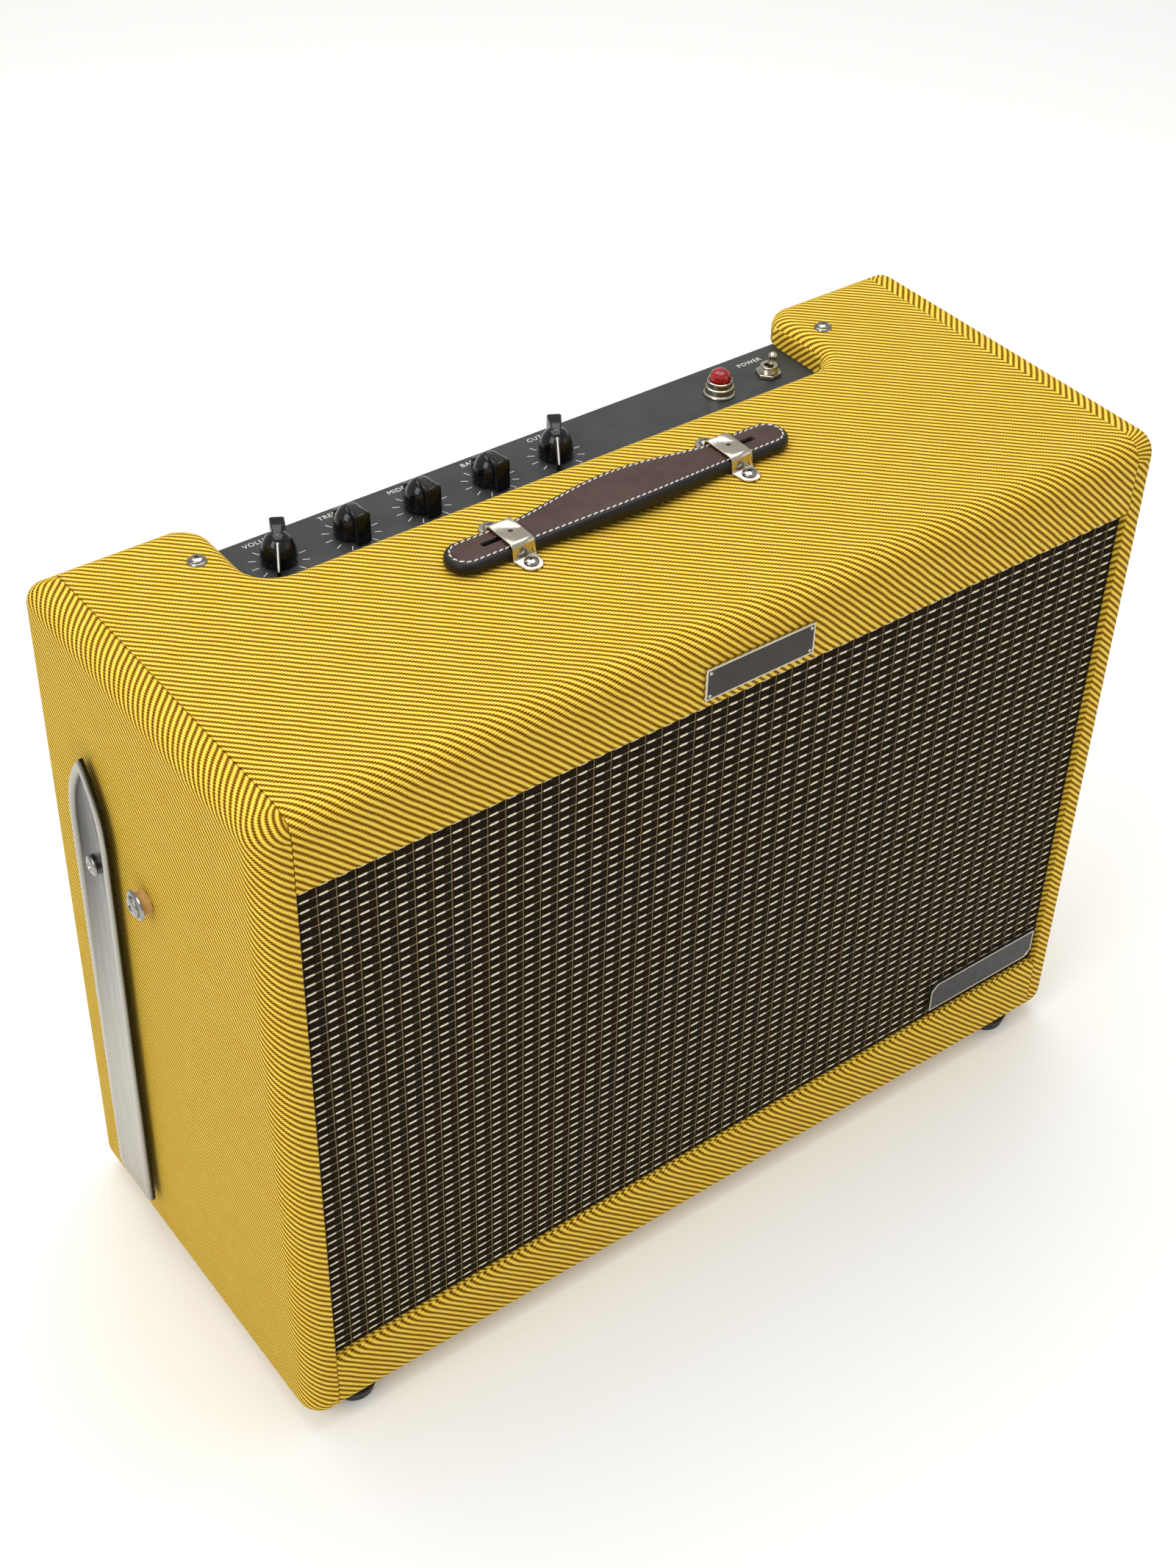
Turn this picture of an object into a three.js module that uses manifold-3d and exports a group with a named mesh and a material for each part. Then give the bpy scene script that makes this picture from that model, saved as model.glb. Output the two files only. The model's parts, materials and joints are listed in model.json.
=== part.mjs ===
// Guitar amplifier: a tweed-covered combo with one 12 inch loudspeaker, a control panel let into the
// rear of the top, a flat strap handle and tilt-back legs.
// Millimetres. +Z is up, the front faces -Y, and the origin is on the floor under the middle of the object.

import * as THREE from 'three';
import { ConvexGeometry } from 'three/addons/geometries/ConvexGeometry.js';
import { mergeVertices } from 'three/addons/utils/BufferGeometryUtils.js';
import Module from 'manifold-3d';

const wasm = await Module();
wasm.setup();

// ---------------------------------------------------------------- driving dimensions

const GAP = 0.3;                    // clearance left between neighbouring pieces

// cabinet
const CAB_WIDTH = 610;              // 24 inches
const CAB_HEIGHT = 475;             // without the feet
const CAB_DEPTH = 265.6;            // at the bottom
const REAR_SLANT = 19.8;            // how far the rear edge leans forward at the top
const FRONT_RADIUS = 15;
const REAR_RADIUS = 12;
const SIDE_BOARD = 20;
const TOP_BOARD = 18;
const BOTTOM_BOARD = 18;
const RAIL_THICKNESS = 18;
const UPPER_RAIL_BOTTOM = 423.5;    // height of the rail's lower edge above the cabinet's underside
const LOWER_RAIL_TOP = 52;
const RAIL_EDGE_RADIUS = 6;
const FOOT_HEIGHT = 10;
const BADGE_PROUD = 2.4;            // how far the front plate stands out of the front

// grille, baffle, loudspeaker
const GRILLE_RECESS = 5;
const GRILLE_THICKNESS = 12;
const BAFFLE_THICKNESS = 12;
const SPEAKER_HEIGHT = 240;         // centre above the cabinet's underside
const SPEAKER_RADIUS = 152;
const BAFFLE_HOLE_RADIUS = 141;

// control panel and chassis
const PANEL_REAR = 232.8;           // from the front plane
const PANEL_FRONT = 150;
const RECESS_FRONT = 171;           // front wall of the cut-out in the top board
const RECESS_HALF_WIDTH = 201;
const RECESS_RADIUS = 20;
const SHEET = 1.6;
const CHASSIS_DROP = 104;
const CHASSIS_HALF_WIDTH = 283;
const KNOB_ROW = 205.7;             // from the front plane
const FIRST_KNOB_X = -170.8;
const KNOB_PITCH = 46.5;
const CONTROLS = ['volume', 'treble', 'middle', 'bass', 'cut'];
const FULL_TURN = 300;              // degrees between a control's two ends
const LAMP_X = 137.5;
const SWITCH_X = 176.3;
const SWITCH_LEAN = 20;             // degrees each side of upright

// handle
const HANDLE_ROW = 122.5;           // centre line, from the front plane
const HANDLE_HALF_LENGTH = 116;
const HANDLE_END_WIDTH = 25;
const HANDLE_MIDDLE_WIDTH = 35;
const HANDLE_END_TOP = 9;           // above the cabinet top
const HANDLE_MIDDLE_TOP = 12.4;
const HANDLE_UNDERSIDE = 1;
const HANDLE_PIVOT_X = 64;
const HANDLE_LIFT = 20;             // degrees that each half can tip up
const BRACKET_X = 75;
const BRACKET_LENGTH = 15;
const BRACKET_TOP = 11;
const BRACKET_SCREW_SPACING = 39;

// tilt-back legs
const LEG_WIDTH = 41;
const LEG_STAND_OFF = 8;            // outer face from the cabinet side
const LEG_INNER_GAP = 4;            // between the leg's rim and the cabinet side
const LEG_BOSS = { radius: 7, gap: 0.6 };   // spacer round the pivot
const LEG_TIP = 79;                 // from the pivot up to the pointed end
const LEG_LENGTH_BELOW = 285;       // from the pivot down to the foot
const LEG_OGIVE_START = 32;
const LEG_LEAN = 2.7;               // degrees, parallel to the slanting rear edge
const LEG_PIVOT = { row: 185, height: 321 };
const LEG_STOP = { row: 133, height: 331 };

// ---------------------------------------------------------------- derived places

const FRONT = -CAB_DEPTH / 2 + BADGE_PROUD / 2;
const fromFront = (distance) => FRONT + distance;
const upFromBase = (height) => FOOT_HEIGHT + height;
const TOP = upFromBase(CAB_HEIGHT);
const HALF = CAB_WIDTH / 2;
const INNER_HALF = HALF - SIDE_BOARD;
const PANEL_TOP = TOP - TOP_BOARD - GAP;
const rearAt = (z) => fromFront(CAB_DEPTH - REAR_SLANT * ((z - FOOT_HEIGHT) / CAB_HEIGHT));
const radians = THREE.MathUtils.degToRad;

// ---------------------------------------------------------------- solids

// A closed three.js geometry as a solid for cutting and joining, with its faces pointing out.
function solid(geometry) {
  const bare = new THREE.BufferGeometry();
  bare.setAttribute('position', geometry.getAttribute('position').clone());
  if (geometry.index) bare.setIndex(geometry.index.clone());
  const merged = mergeVertices(bare, 1e-4);
  const position = merged.getAttribute('position');
  const corners = [];
  let volume = 0;
  const a = new THREE.Vector3();
  const b = new THREE.Vector3();
  const c = new THREE.Vector3();
  for (let i = 0; i < merged.index.count; i += 3) {
    const [p, q, r] = [0, 1, 2].map((k) => merged.index.getX(i + k));
    if (p === q || q === r || r === p) continue;
    a.fromBufferAttribute(position, p);
    b.fromBufferAttribute(position, q);
    c.fromBufferAttribute(position, r);
    volume += a.dot(b.cross(c));
    corners.push([p, q, r]);
  }
  const triangles = corners.map(([p, q, r]) => (volume < 0 ? [p, r, q] : [p, q, r])).flat();
  return new wasm.Manifold(new wasm.Mesh({
    numProp: 3,
    vertProperties: new Float32Array(position.array),
    triVerts: new Uint32Array(triangles),
  }));
}

// A solid back as a three.js geometry.
function toGeometry(body) {
  const mesh = body.getMesh();
  const geometry = new THREE.BufferGeometry();
  geometry.setAttribute('position', new THREE.BufferAttribute(new Float32Array(mesh.vertProperties), 3));
  geometry.setIndex(new THREE.BufferAttribute(new Uint32Array(mesh.triVerts), 1));
  geometry.computeVertexNormals();
  return geometry;
}

const cut = (body, ...tools) => tools.reduce((rest, tool) => rest.subtract(tool), body);
const join = (...bodies) => bodies.reduce((sum, body) => sum.add(body));

function block(x0, x1, y0, y1, z0, z1) {
  const geometry = new THREE.BoxGeometry(x1 - x0, y1 - y0, z1 - z0);
  return solid(geometry.translate((x0 + x1) / 2, (y0 + y1) / 2, (z0 + z1) / 2));
}

const PLANES = {
  XY: new THREE.Matrix4(),
  YZ: new THREE.Matrix4().makeBasis(
    new THREE.Vector3(0, 1, 0), new THREE.Vector3(0, 0, 1), new THREE.Vector3(1, 0, 0)),
  XZ: new THREE.Matrix4().makeBasis(
    new THREE.Vector3(1, 0, 0), new THREE.Vector3(0, 0, 1), new THREE.Vector3(0, -1, 0)),
};

// A flat outline in one of the three planes, made solid between two places on the third axis.
function prism(shape, plane, from, to, curveSegments = 6) {
  const geometry = new THREE.ExtrudeGeometry(shape, { depth: to - from, bevelEnabled: false, curveSegments });
  geometry.applyMatrix4(PLANES[plane]);
  const shift = { XY: [0, 0, from], YZ: [from, 0, 0], XZ: [0, to, 0] }[plane];
  return solid(geometry.translate(...shift));
}

const outline = (points) => new THREE.Shape(points.map(([u, v]) => new THREE.Vector2(u, v)));

const AXES = {
  X: new THREE.Matrix4().makeRotationZ(-Math.PI / 2),
  Y: new THREE.Matrix4(),
  Z: new THREE.Matrix4().makeRotationX(Math.PI / 2),
};

// A profile of [radius, height] points turned about an axis that runs through a centre.
function turned(profile, axis, centre, segments = 24) {
  const geometry = new THREE.LatheGeometry(profile.map(([r, h]) => new THREE.Vector2(r, h)), segments);
  geometry.applyMatrix4(AXES[axis]);
  return solid(geometry.translate(...centre));
}

function drill(radius, axis, centre, from, to, segments = 24) {
  return turned([[0, from], [radius, from], [radius, to], [0, to]], axis, centre, segments);
}

const mirrored = (body, side) => (side < 0 ? body : body.mirror([1, 0, 0]));

// ---------------------------------------------------------------- materials

const paint = (color, roughness, metalness = 0) => (
  new THREE.MeshStandardMaterial({ color, roughness, metalness })
);
const tweed = paint(0xd9b13c, 0.75);
const plywood = paint(0xc9a878, 0.8);
const grilleCloth = paint(0x3a3022, 0.9);
const panelPaint = paint(0x45433f, 0.45, 0.3);
const blackPlastic = paint(0x17130f, 0.25);
const darkMetal = paint(0x2a2a2c, 0.4, 0.6);
const nickel = paint(0xd8d2c4, 0.22, 1);
const stainless = paint(0xb9b6b0, 0.3, 1);
const redGlass = paint(0xb31420, 0.1);
const leather = paint(0x32261d, 0.6);
const tanFibre = paint(0xa8743c, 0.7);
const rubber = paint(0x141414, 0.85);
const paperCone = paint(0x232323, 0.95);
const boardGreen = paint(0x1d5a34, 0.6);

const amplifier = new THREE.Group();

function add(name, body, material) {
  const mesh = new THREE.Mesh(toGeometry(body), material);
  mesh.name = name;
  amplifier.add(mesh);
}

// ---------------------------------------------------------------- screws

// An oval-head screw. It stands along +h from the seat, and its shank goes the other way.
const screwProfile = (head, height, shank, length) => [
  [0, -length], [shank, -length], [shank, 0], [head, 0], [head, height * 0.25],
  [head * 0.8, height * 0.68], [head * 0.45, height * 0.94], [0, height],
];

// The same screw in a cup washer, which is wider and lies under the head.
const cupScrewProfile = (cup, cupHeight, head, height, shank, length) => [
  [0, -length], [shank, -length], [shank, 0], [cup, 0], [cup * 0.93, cupHeight * 0.6], [cup * 0.75, cupHeight],
  [head, cupHeight], [head * 0.8, cupHeight + height * 0.6], [head * 0.4, cupHeight + height * 0.95],
  [0, cupHeight + height],
];

const BRACKET_SCREW = { radius: 4.3, height: 2.4, shank: 1.9, length: 14 };
const CHASSIS_SCREW = { cup: 5.6, cupHeight: 1.4, head: 3.9, height: 1.8, shank: 2.2, length: 26 };
const LEG_SCREW = { radius: 6.2, height: 2.6, shank: 3, length: 22 };
const STOP_SCREW = { cup: 9.2, cupHeight: 2, head: 6, height: 2.2, shank: 2.6, length: 22 };
const STOP_SPACER = { radius: 7, thickness: 6 };

const chassisScrewPlaces = [-1, 1].map((side) => [side * 219.2, fromFront(206.5)]);
const bracketScrewPlaces = [-1, 1].flatMap((side) => [-1, 1].map((row) =>
  [side * BRACKET_X, fromFront(HANDLE_ROW) + row * BRACKET_SCREW_SPACING / 2]));

// ---------------------------------------------------------------- cabinet boards

// The whole outside of the cabinet: a box with rounded edges whose rear face leans forward.
function cabinetBlank() {
  const points = [];
  for (const x of [-1, 1]) {
    for (const y of [-1, 1]) {
      for (const z of [-1, 1]) {
        const radius = y < 0 ? FRONT_RADIUS : REAR_RADIUS;
        const height = z < 0 ? FOOT_HEIGHT : TOP;
        const centre = new THREE.Vector3(
          x * (HALF - radius),
          y < 0 ? FRONT + radius : rearAt(height) - radius,
          height - z * radius,
        );
        const ball = new THREE.SphereGeometry(radius, 16, 8).rotateX(Math.PI / 2).getAttribute('position');
        for (let i = 0; i < ball.count; i += 1) {
          const p = new THREE.Vector3().fromBufferAttribute(ball, i);
          const outward = p.x * x >= -1e-6 && p.y * y >= -1e-6 && p.z * z >= -1e-6;
          if (outward) points.push(p.add(centre));
        }
      }
    }
  }
  return solid(new ConvexGeometry(points));
}

const blank = cabinetBlank();
const BEYOND = 400;                 // larger than half the cabinet, for slabs that reach past it

function sideBoard(side) {
  let board = blank.intersect(block(-BEYOND, -INNER_HALF, -BEYOND, BEYOND, 0, TOP + 1));
  for (const place of [LEG_PIVOT, LEG_STOP]) {
    const centre = [-HALF, fromFront(place.row), upFromBase(place.height)];
    board = cut(board, drill(3.4, 'X', centre, -5, 17));
  }
  return mirrored(board, side);
}

// The cut-out in the rear of the top board. Its front corners and its mouth are rounded.
function recessOutline() {
  const front = fromFront(RECESS_FRONT);
  const rear = rearAt(TOP);
  const w = RECESS_HALF_WIDTH;
  const r = RECESS_RADIUS;
  const shape = new THREE.Shape();
  shape.moveTo(-w - r, rear + 10);
  shape.lineTo(-w - r, rear);
  shape.absarc(-w - r, rear - r, r, Math.PI / 2, 0, true);
  shape.lineTo(-w, front + r);
  shape.absarc(-w + r, front + r, r, Math.PI, Math.PI * 1.5, false);
  shape.lineTo(w - r, front);
  shape.absarc(w - r, front + r, r, Math.PI * 1.5, Math.PI * 2, false);
  shape.lineTo(w, rear - r);
  shape.absarc(w + r, rear - r, r, Math.PI, Math.PI / 2, true);
  shape.lineTo(w + r, rear + 10);
  return shape;
}

function topBoard() {
  const limit = INNER_HALF - GAP;
  let board = blank.intersect(block(-limit, limit, -BEYOND, BEYOND, TOP - TOP_BOARD, TOP + 1));
  board = cut(board, prism(recessOutline(), 'XY', TOP - TOP_BOARD - 5, TOP + 5));
  for (const [x, y] of chassisScrewPlaces) board = cut(board, drill(2.6, 'Z', [x, y, TOP], -25, 5, 12));
  for (const [x, y] of bracketScrewPlaces) board = cut(board, drill(2.3, 'Z', [x, y, TOP], -25, 5, 12));
  return board;
}

// A front rail between two heights, rounded along the edge that faces the grille.
function frontRail(low, high, roundedEdge) {
  const r = RAIL_EDGE_RADIUS;
  const back = fromFront(RAIL_THICKNESS);
  const bottom = upFromBase(low);
  const top = upFromBase(high);
  const shape = new THREE.Shape();
  if (roundedEdge === 'top') {
    shape.moveTo(back, bottom);
    shape.lineTo(back, top);
    shape.lineTo(FRONT + r, top);
    shape.absarc(FRONT + r, top - r, r, Math.PI / 2, Math.PI, false);
    shape.lineTo(FRONT, bottom);
  } else {
    shape.moveTo(back, top);
    shape.lineTo(FRONT, top);
    shape.lineTo(FRONT, bottom + r);
    shape.absarc(FRONT + r, bottom + r, r, Math.PI, Math.PI * 1.5, false);
    shape.lineTo(back, bottom);
  }
  const limit = INNER_HALF - GAP;
  return blank.intersect(prism(shape, 'YZ', -limit, limit));
}

function backPanel() {
  const inset = 2;
  const thickness = 10;
  const low = upFromBase(BOTTOM_BOARD + GAP);
  const high = PANEL_TOP - CHASSIS_DROP + 12;
  const shape = outline([
    [rearAt(low) - inset - thickness, low],
    [rearAt(low) - inset, low],
    [rearAt(high) - inset, high],
    [rearAt(high) - inset - thickness, high],
  ]);
  return prism(shape, 'YZ', -INNER_HALF + GAP, INNER_HALF - GAP);
}

add('side_board_left', sideBoard(-1), tweed);
add('side_board_right', sideBoard(1), tweed);
add('top_board', topBoard(), tweed);
add('bottom_board', blank.intersect(block(-INNER_HALF + GAP, INNER_HALF - GAP,
  fromFront(RAIL_THICKNESS) + GAP, BEYOND, 0, upFromBase(BOTTOM_BOARD))), tweed);
add('upper_front_rail', frontRail(UPPER_RAIL_BOTTOM, CAB_HEIGHT - TOP_BOARD - GAP, 'bottom'), tweed);
add('lower_front_rail', frontRail(0, LOWER_RAIL_TOP, 'top'), tweed);
add('back_panel', backPanel(), tweed);

// ---------------------------------------------------------------- grille, baffle and plates

const baffleFront = fromFront(RAIL_THICKNESS) + GAP;
const speakerCentre = [0, 0, upFromBase(SPEAKER_HEIGHT)];

add('grille_panel', block(-INNER_HALF + GAP, INNER_HALF - GAP,
  fromFront(GRILLE_RECESS), fromFront(GRILLE_RECESS + GRILLE_THICKNESS),
  upFromBase(LOWER_RAIL_TOP + GAP), upFromBase(UPPER_RAIL_BOTTOM - GAP)), grilleCloth);

add('baffle_board', cut(
  block(-INNER_HALF + GAP, INNER_HALF - GAP, baffleFront, baffleFront + BAFFLE_THICKNESS,
    upFromBase(BOTTOM_BOARD + GAP), TOP - TOP_BOARD - GAP),
  drill(BAFFLE_HOLE_RADIUS, 'Y', speakerCentre, FRONT, 0, 48),
), plywood);

const FRONT_BADGE = { halfWidth: 37.5, low: 432.6, high: 453.6, thickness: BADGE_PROUD - GAP, pin: 1.1 };
const GRILLE_BADGE = { left: 185, right: 280, low: 60, high: 83, clip: 5, thickness: 2.2 };

// A flat plate with a small domed pin in each corner.
function frontBadge() {
  const { halfWidth, low, high, thickness, pin } = FRONT_BADGE;
  const face = FRONT - GAP - thickness;
  const plateDepth = thickness - 0.6;
  const back = face + 0.6 + plateDepth;
  const plate = block(-halfWidth, halfWidth, face + 0.6, back, upFromBase(low), upFromBase(high));
  const pins = [];
  for (const x of [-1, 1]) {
    for (const z of [low + 3, high - 3]) {
      pins.push(drill(pin, 'Y', [x * (halfWidth - 3), 0, upFromBase(z)], face, face + 1, 12));
    }
  }
  return join(plate, ...pins);
}

function grilleBadge() {
  const { left, right, low, high, clip, thickness } = GRILLE_BADGE;
  const bottom = upFromBase(low);
  const top = upFromBase(high);
  const shape = outline([
    [left, bottom], [right - clip, bottom], [right, bottom + clip], [right, top], [left + clip, top],
    [left, top - clip],
  ]);
  const back = fromFront(GRILLE_RECESS) - GAP;
  return prism(shape, 'XZ', back - thickness, back);
}

add('front_badge', frontBadge(), nickel);
add('grille_badge', grilleBadge(), darkMetal);

// ---------------------------------------------------------------- loudspeaker

const speakerFront = baffleFront + BAFFLE_THICKNESS + GAP;
const MAGNET_RADIUS = 72;
const BASKET_DEPTH = 84;

function speakerBasket() {
  const y = (d) => speakerFront + d;
  const r = SPEAKER_RADIUS;
  const profile = [
    [r, y(0)], [r, y(4)], [138, y(6)], [118, y(42)], [62, y(BASKET_DEPTH)], [24, y(BASKET_DEPTH)],
    [24, y(BASKET_DEPTH - 3)], [58, y(BASKET_DEPTH - 3)], [114, y(42)], [133, y(4)], [137, y(0)], [r, y(0)],
  ];
  let basket = turned(profile, 'Y', speakerCentre, 20);
  const windows = 4;
  for (let i = 0; i < windows; i += 1) {
    const angle = 180 * i / windows + 22;
    const slot = block(-200, 200, y(14), y(BASKET_DEPTH - 22), -24, 24).rotate([0, angle, 0]);
    basket = cut(basket, slot.translate(speakerCentre));
  }
  return basket;
}

function speakerCone() {
  const y = (d) => speakerFront + d;
  const profile = [
    [133, y(-0.5)], [129, y(-3)], [124, y(-3)], [120, y(0)], [34, y(50)], [34, y(68)], [32.5, y(68)],
    [32.5, y(49)], [119, y(-1.5)], [124, y(-4.5)], [129, y(-4.5)], [133, y(-2)], [133, y(-0.5)],
  ];
  return turned(profile, 'Y', speakerCentre, 20);
}

const dustCapProfile = [
  [0, speakerFront + 33], [20, speakerFront + 36], [34, speakerFront + 43], [38, speakerFront + 45],
  [37, speakerFront + 46], [20, speakerFront + 38], [0, speakerFront + 35],
];

add('speaker_basket', speakerBasket(), darkMetal);
add('speaker_cone', speakerCone(), paperCone);
add('speaker_dust_cap', turned(dustCapProfile, 'Y', speakerCentre, 16), paperCone);
add('speaker_magnet', drill(MAGNET_RADIUS, 'Y', speakerCentre,
  speakerFront + BASKET_DEPTH + GAP, speakerFront + BASKET_DEPTH + 40, 24), darkMetal);

// ---------------------------------------------------------------- chassis and what it carries

const controlRow = fromFront(KNOB_ROW);
const knobX = (index) => FIRST_KNOB_X + index * KNOB_PITCH;
const chassisRear = fromFront(PANEL_REAR);
const chassisFront = fromFront(PANEL_FRONT);
const REAR_ROW = PANEL_TOP - 56;
const INLET = { x: 226, halfWidth: 14, halfHeight: 10.5, wall: 1.8 };
const JACKS = { input_jack: -196, line_out_jack: -150 };

function chassis() {
  const bottom = PANEL_TOP - CHASSIS_DROP;
  const section = outline([
    [chassisFront, bottom], [chassisFront, PANEL_TOP], [chassisRear, PANEL_TOP], [chassisRear, bottom],
    [chassisRear - SHEET, bottom], [chassisRear - SHEET, PANEL_TOP - SHEET],
    [chassisFront + SHEET, PANEL_TOP - SHEET], [chassisFront + SHEET, bottom],
  ]);
  const holes = CONTROLS.map((_, i) => drill(5.2, 'Z', [knobX(i), controlRow, PANEL_TOP], -5, 5, 16));
  holes.push(drill(7.7, 'Z', [LAMP_X, controlRow, PANEL_TOP], -5, 5, 16));
  holes.push(drill(6.3, 'Z', [SWITCH_X, controlRow, PANEL_TOP], -5, 5, 16));
  for (const [x, y] of chassisScrewPlaces) holes.push(drill(2.6, 'Z', [x, y, PANEL_TOP], -5, 5, 12));
  for (const x of Object.values(JACKS)) holes.push(drill(5.2, 'Y', [x, chassisRear, REAR_ROW], -5, 5, 16));
  holes.push(block(INLET.x - INLET.halfWidth - GAP, INLET.x + INLET.halfWidth + GAP, chassisRear - 5,
    chassisRear + 5, REAR_ROW - INLET.halfHeight - GAP, REAR_ROW + INLET.halfHeight + GAP));
  return cut(prism(section, 'YZ', -CHASSIS_HALF_WIDTH, CHASSIS_HALF_WIDTH), ...holes);
}

// Housing under the panel, bushing through it, nut on top, and the shaft that the knob sits on.
const potProfile = [
  [0, -15], [12, -15], [12, -4], [4.8, -4], [4.8, GAP], [6.4, GAP], [6.4, 2.6], [4, 2.6], [4, 4.2],
  [3, 4.2], [3, 13], [0, 13],
];

// A pointer knob aimed at +X: a round skirt with a bar across it that narrows to a low nose.
function pointerKnob() {
  const base = 0.9;
  const top = 20;
  const skirt = turned([[0, base], [10.2, base], [9.6, 10.5], [8.6, 12], [0, 12]], 'Z', [0, 0, 0], 24);
  const plan = new THREE.Shape();
  plan.moveTo(-13.6, -4.4);
  plan.lineTo(-4, -4.9);
  plan.quadraticCurveTo(4, -4.6, 8, -2.9);
  plan.lineTo(18.2, -0.9);
  plan.lineTo(18.2, 0.9);
  plan.lineTo(8, 2.9);
  plan.quadraticCurveTo(4, 4.6, -4, 4.9);
  plan.lineTo(-13.6, 4.4);
  const side = outline([
    [-14, base + 1], [-13, top - 3.5], [-10.5, top - 0.8], [-6, top], [4, top - 0.4], [9, top - 3], [18.5, 6.4],
    [18.5, base + 1],
  ]);
  const bar = prism(plan, 'XY', base, top + 1, 4).intersect(prism(side, 'XZ', -6, 6));
  const bore = drill(3.3, 'Z', [0, 0, 0], -1, 13.5, 12);
  const nutRoom = drill(7.2, 'Z', [0, 0, 0], -1, 4.8, 16);
  return cut(join(skirt, bar), bore, nutRoom);
}

const REST_ANGLE = { volume: 240, treble: 90, middle: 90, bass: 90, cut: 240 };   // of the nose, from +X

add('chassis', chassis(), panelPaint);
CONTROLS.forEach((name, i) => {
  const place = [knobX(i), controlRow, PANEL_TOP];
  add(`${name}_pot`, turned(potProfile, 'Z', place, 12), darkMetal);
  add(`${name}_knob`, pointerKnob().rotate([0, 0, REST_ANGLE[name]]).translate(place), blackPlastic);
});

const bezelProfile = [
  [6.1, -8], [7.4, -8], [7.4, GAP], [9.8, GAP], [9.8, 1.6], [8.9, 2.4], [8.9, 5.6], [7.9, 6.4], [7.9, 9.2],
  [7.2, 9.7], [6.1, 9.7], [6.1, -8],
];
const lensProfile = [
  [0, -5], [5.8, -5], [5.8, 9.9], [6.9, 10], [6.9, 11.4], [5.9, 14], [3.4, 15.8], [0, 16.3],
];
add('jewel_bezel', turned(bezelProfile, 'Z', [LAMP_X, controlRow, PANEL_TOP], 16), nickel);
add('jewel_lens', turned(lensProfile, 'Z', [LAMP_X, controlRow, PANEL_TOP], 12), redGlass);

const SWITCH_PIVOT = 4;             // above the panel
const switchPlace = [SWITCH_X, controlRow, PANEL_TOP];

function switchBody() {
  const housing = block(-6.5, 6.5, -9, 9, -18, -SHEET - 1);
  const bushing = turned([
    [0, -5], [5.8, -5], [5.8, 6.4], [5.2, 7], [3.8, 7], [3.4, 5], [3.4, 0.6], [0, 0.6],
  ], 'Z', [0, 0, 0], 20);
  return join(housing, bushing).translate(switchPlace);
}

// A bat-shaped lever with a ball at its pivot and a rounded end.
function switchLever() {
  const lever = turned([
    [0, -2.4], [1.8, -1.6], [2.4, 0], [1.8, 1.6], [1.2, 2.6], [1.3, 4], [2, 9], [2.3, 10.8], [1.9, 12],
    [1, 12.7], [0, 12.9],
  ], 'Z', [0, 0, 0], 10);
  return lever.rotate([SWITCH_LEAN, 0, 0]).translate([SWITCH_X, controlRow, PANEL_TOP + SWITCH_PIVOT]);
}

add('power_switch_body', switchBody(), darkMetal);
add('power_switch_nut', cut(
  turned([[0, GAP], [7.9, GAP], [8.2, 0.8], [8.2, 2.2], [7.6, 2.8], [0, 2.8]], 'Z', switchPlace, 6),
  drill(6.1, 'Z', switchPlace, -1, 5, 20),
), nickel);
add('power_switch_lever', switchLever(), nickel);

const boardSlab = block(-210, 45, chassisFront + 8, chassisRear - 6, PANEL_TOP - 25, PANEL_TOP - 23.4);
const supplyBack = chassisRear - SHEET - GAP;
const supplyBox = block(60, 185, chassisFront + 10, supplyBack, PANEL_TOP - 96, PANEL_TOP - 30);
add('circuit_board', boardSlab, boardGreen);
add('power_supply', supplyBox, darkMetal);

// A socket with a flange outside the chassis and a hollow that opens to the rear.
function mainsInlet() {
  const { x, halfWidth, halfHeight, wall } = INLET;
  const flange = block(x - 25, x + 25, chassisRear + GAP, chassisRear + 2.8, REAR_ROW - 13.5, REAR_ROW + 13.5);
  const body = block(x - halfWidth, x + halfWidth, chassisRear - 20, chassisRear + 2.8,
    REAR_ROW - halfHeight, REAR_ROW + halfHeight);
  const hollow = block(x - halfWidth + wall, x + halfWidth - wall, chassisRear - 17, chassisRear + 5,
    REAR_ROW - halfHeight + wall, REAR_ROW + halfHeight - wall);
  return cut(join(flange, body), hollow);
}

const jackProfile = [
  [0, -30], [9, -30], [9, -SHEET - 0.5], [4.8, -SHEET - 0.5], [4.8, GAP], [7.5, GAP], [7.5, 2.6], [5.6, 3.4],
  [5.6, 4], [3.5, 4], [3.5, -26], [0, -26],
];

add('mains_inlet', mainsInlet(), blackPlastic);
for (const [name, x] of Object.entries(JACKS)) {
  add(name, turned(jackProfile, 'Y', [x, chassisRear, REAR_ROW], 14), darkMetal);
}

// ---------------------------------------------------------------- handle

const handleRow = fromFront(HANDLE_ROW);

// Half the strap's width at a distance from its middle: wide in the middle, straight towards the ends.
function strapHalfWidth(x) {
  const t = Math.min(Math.abs(x) / HANDLE_PIVOT_X, 1);
  const swell = (1 + Math.cos(Math.PI * t)) / 2;
  return (HANDLE_END_WIDTH + (HANDLE_MIDDLE_WIDTH - HANDLE_END_WIDTH) * swell) / 2;
}

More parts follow.
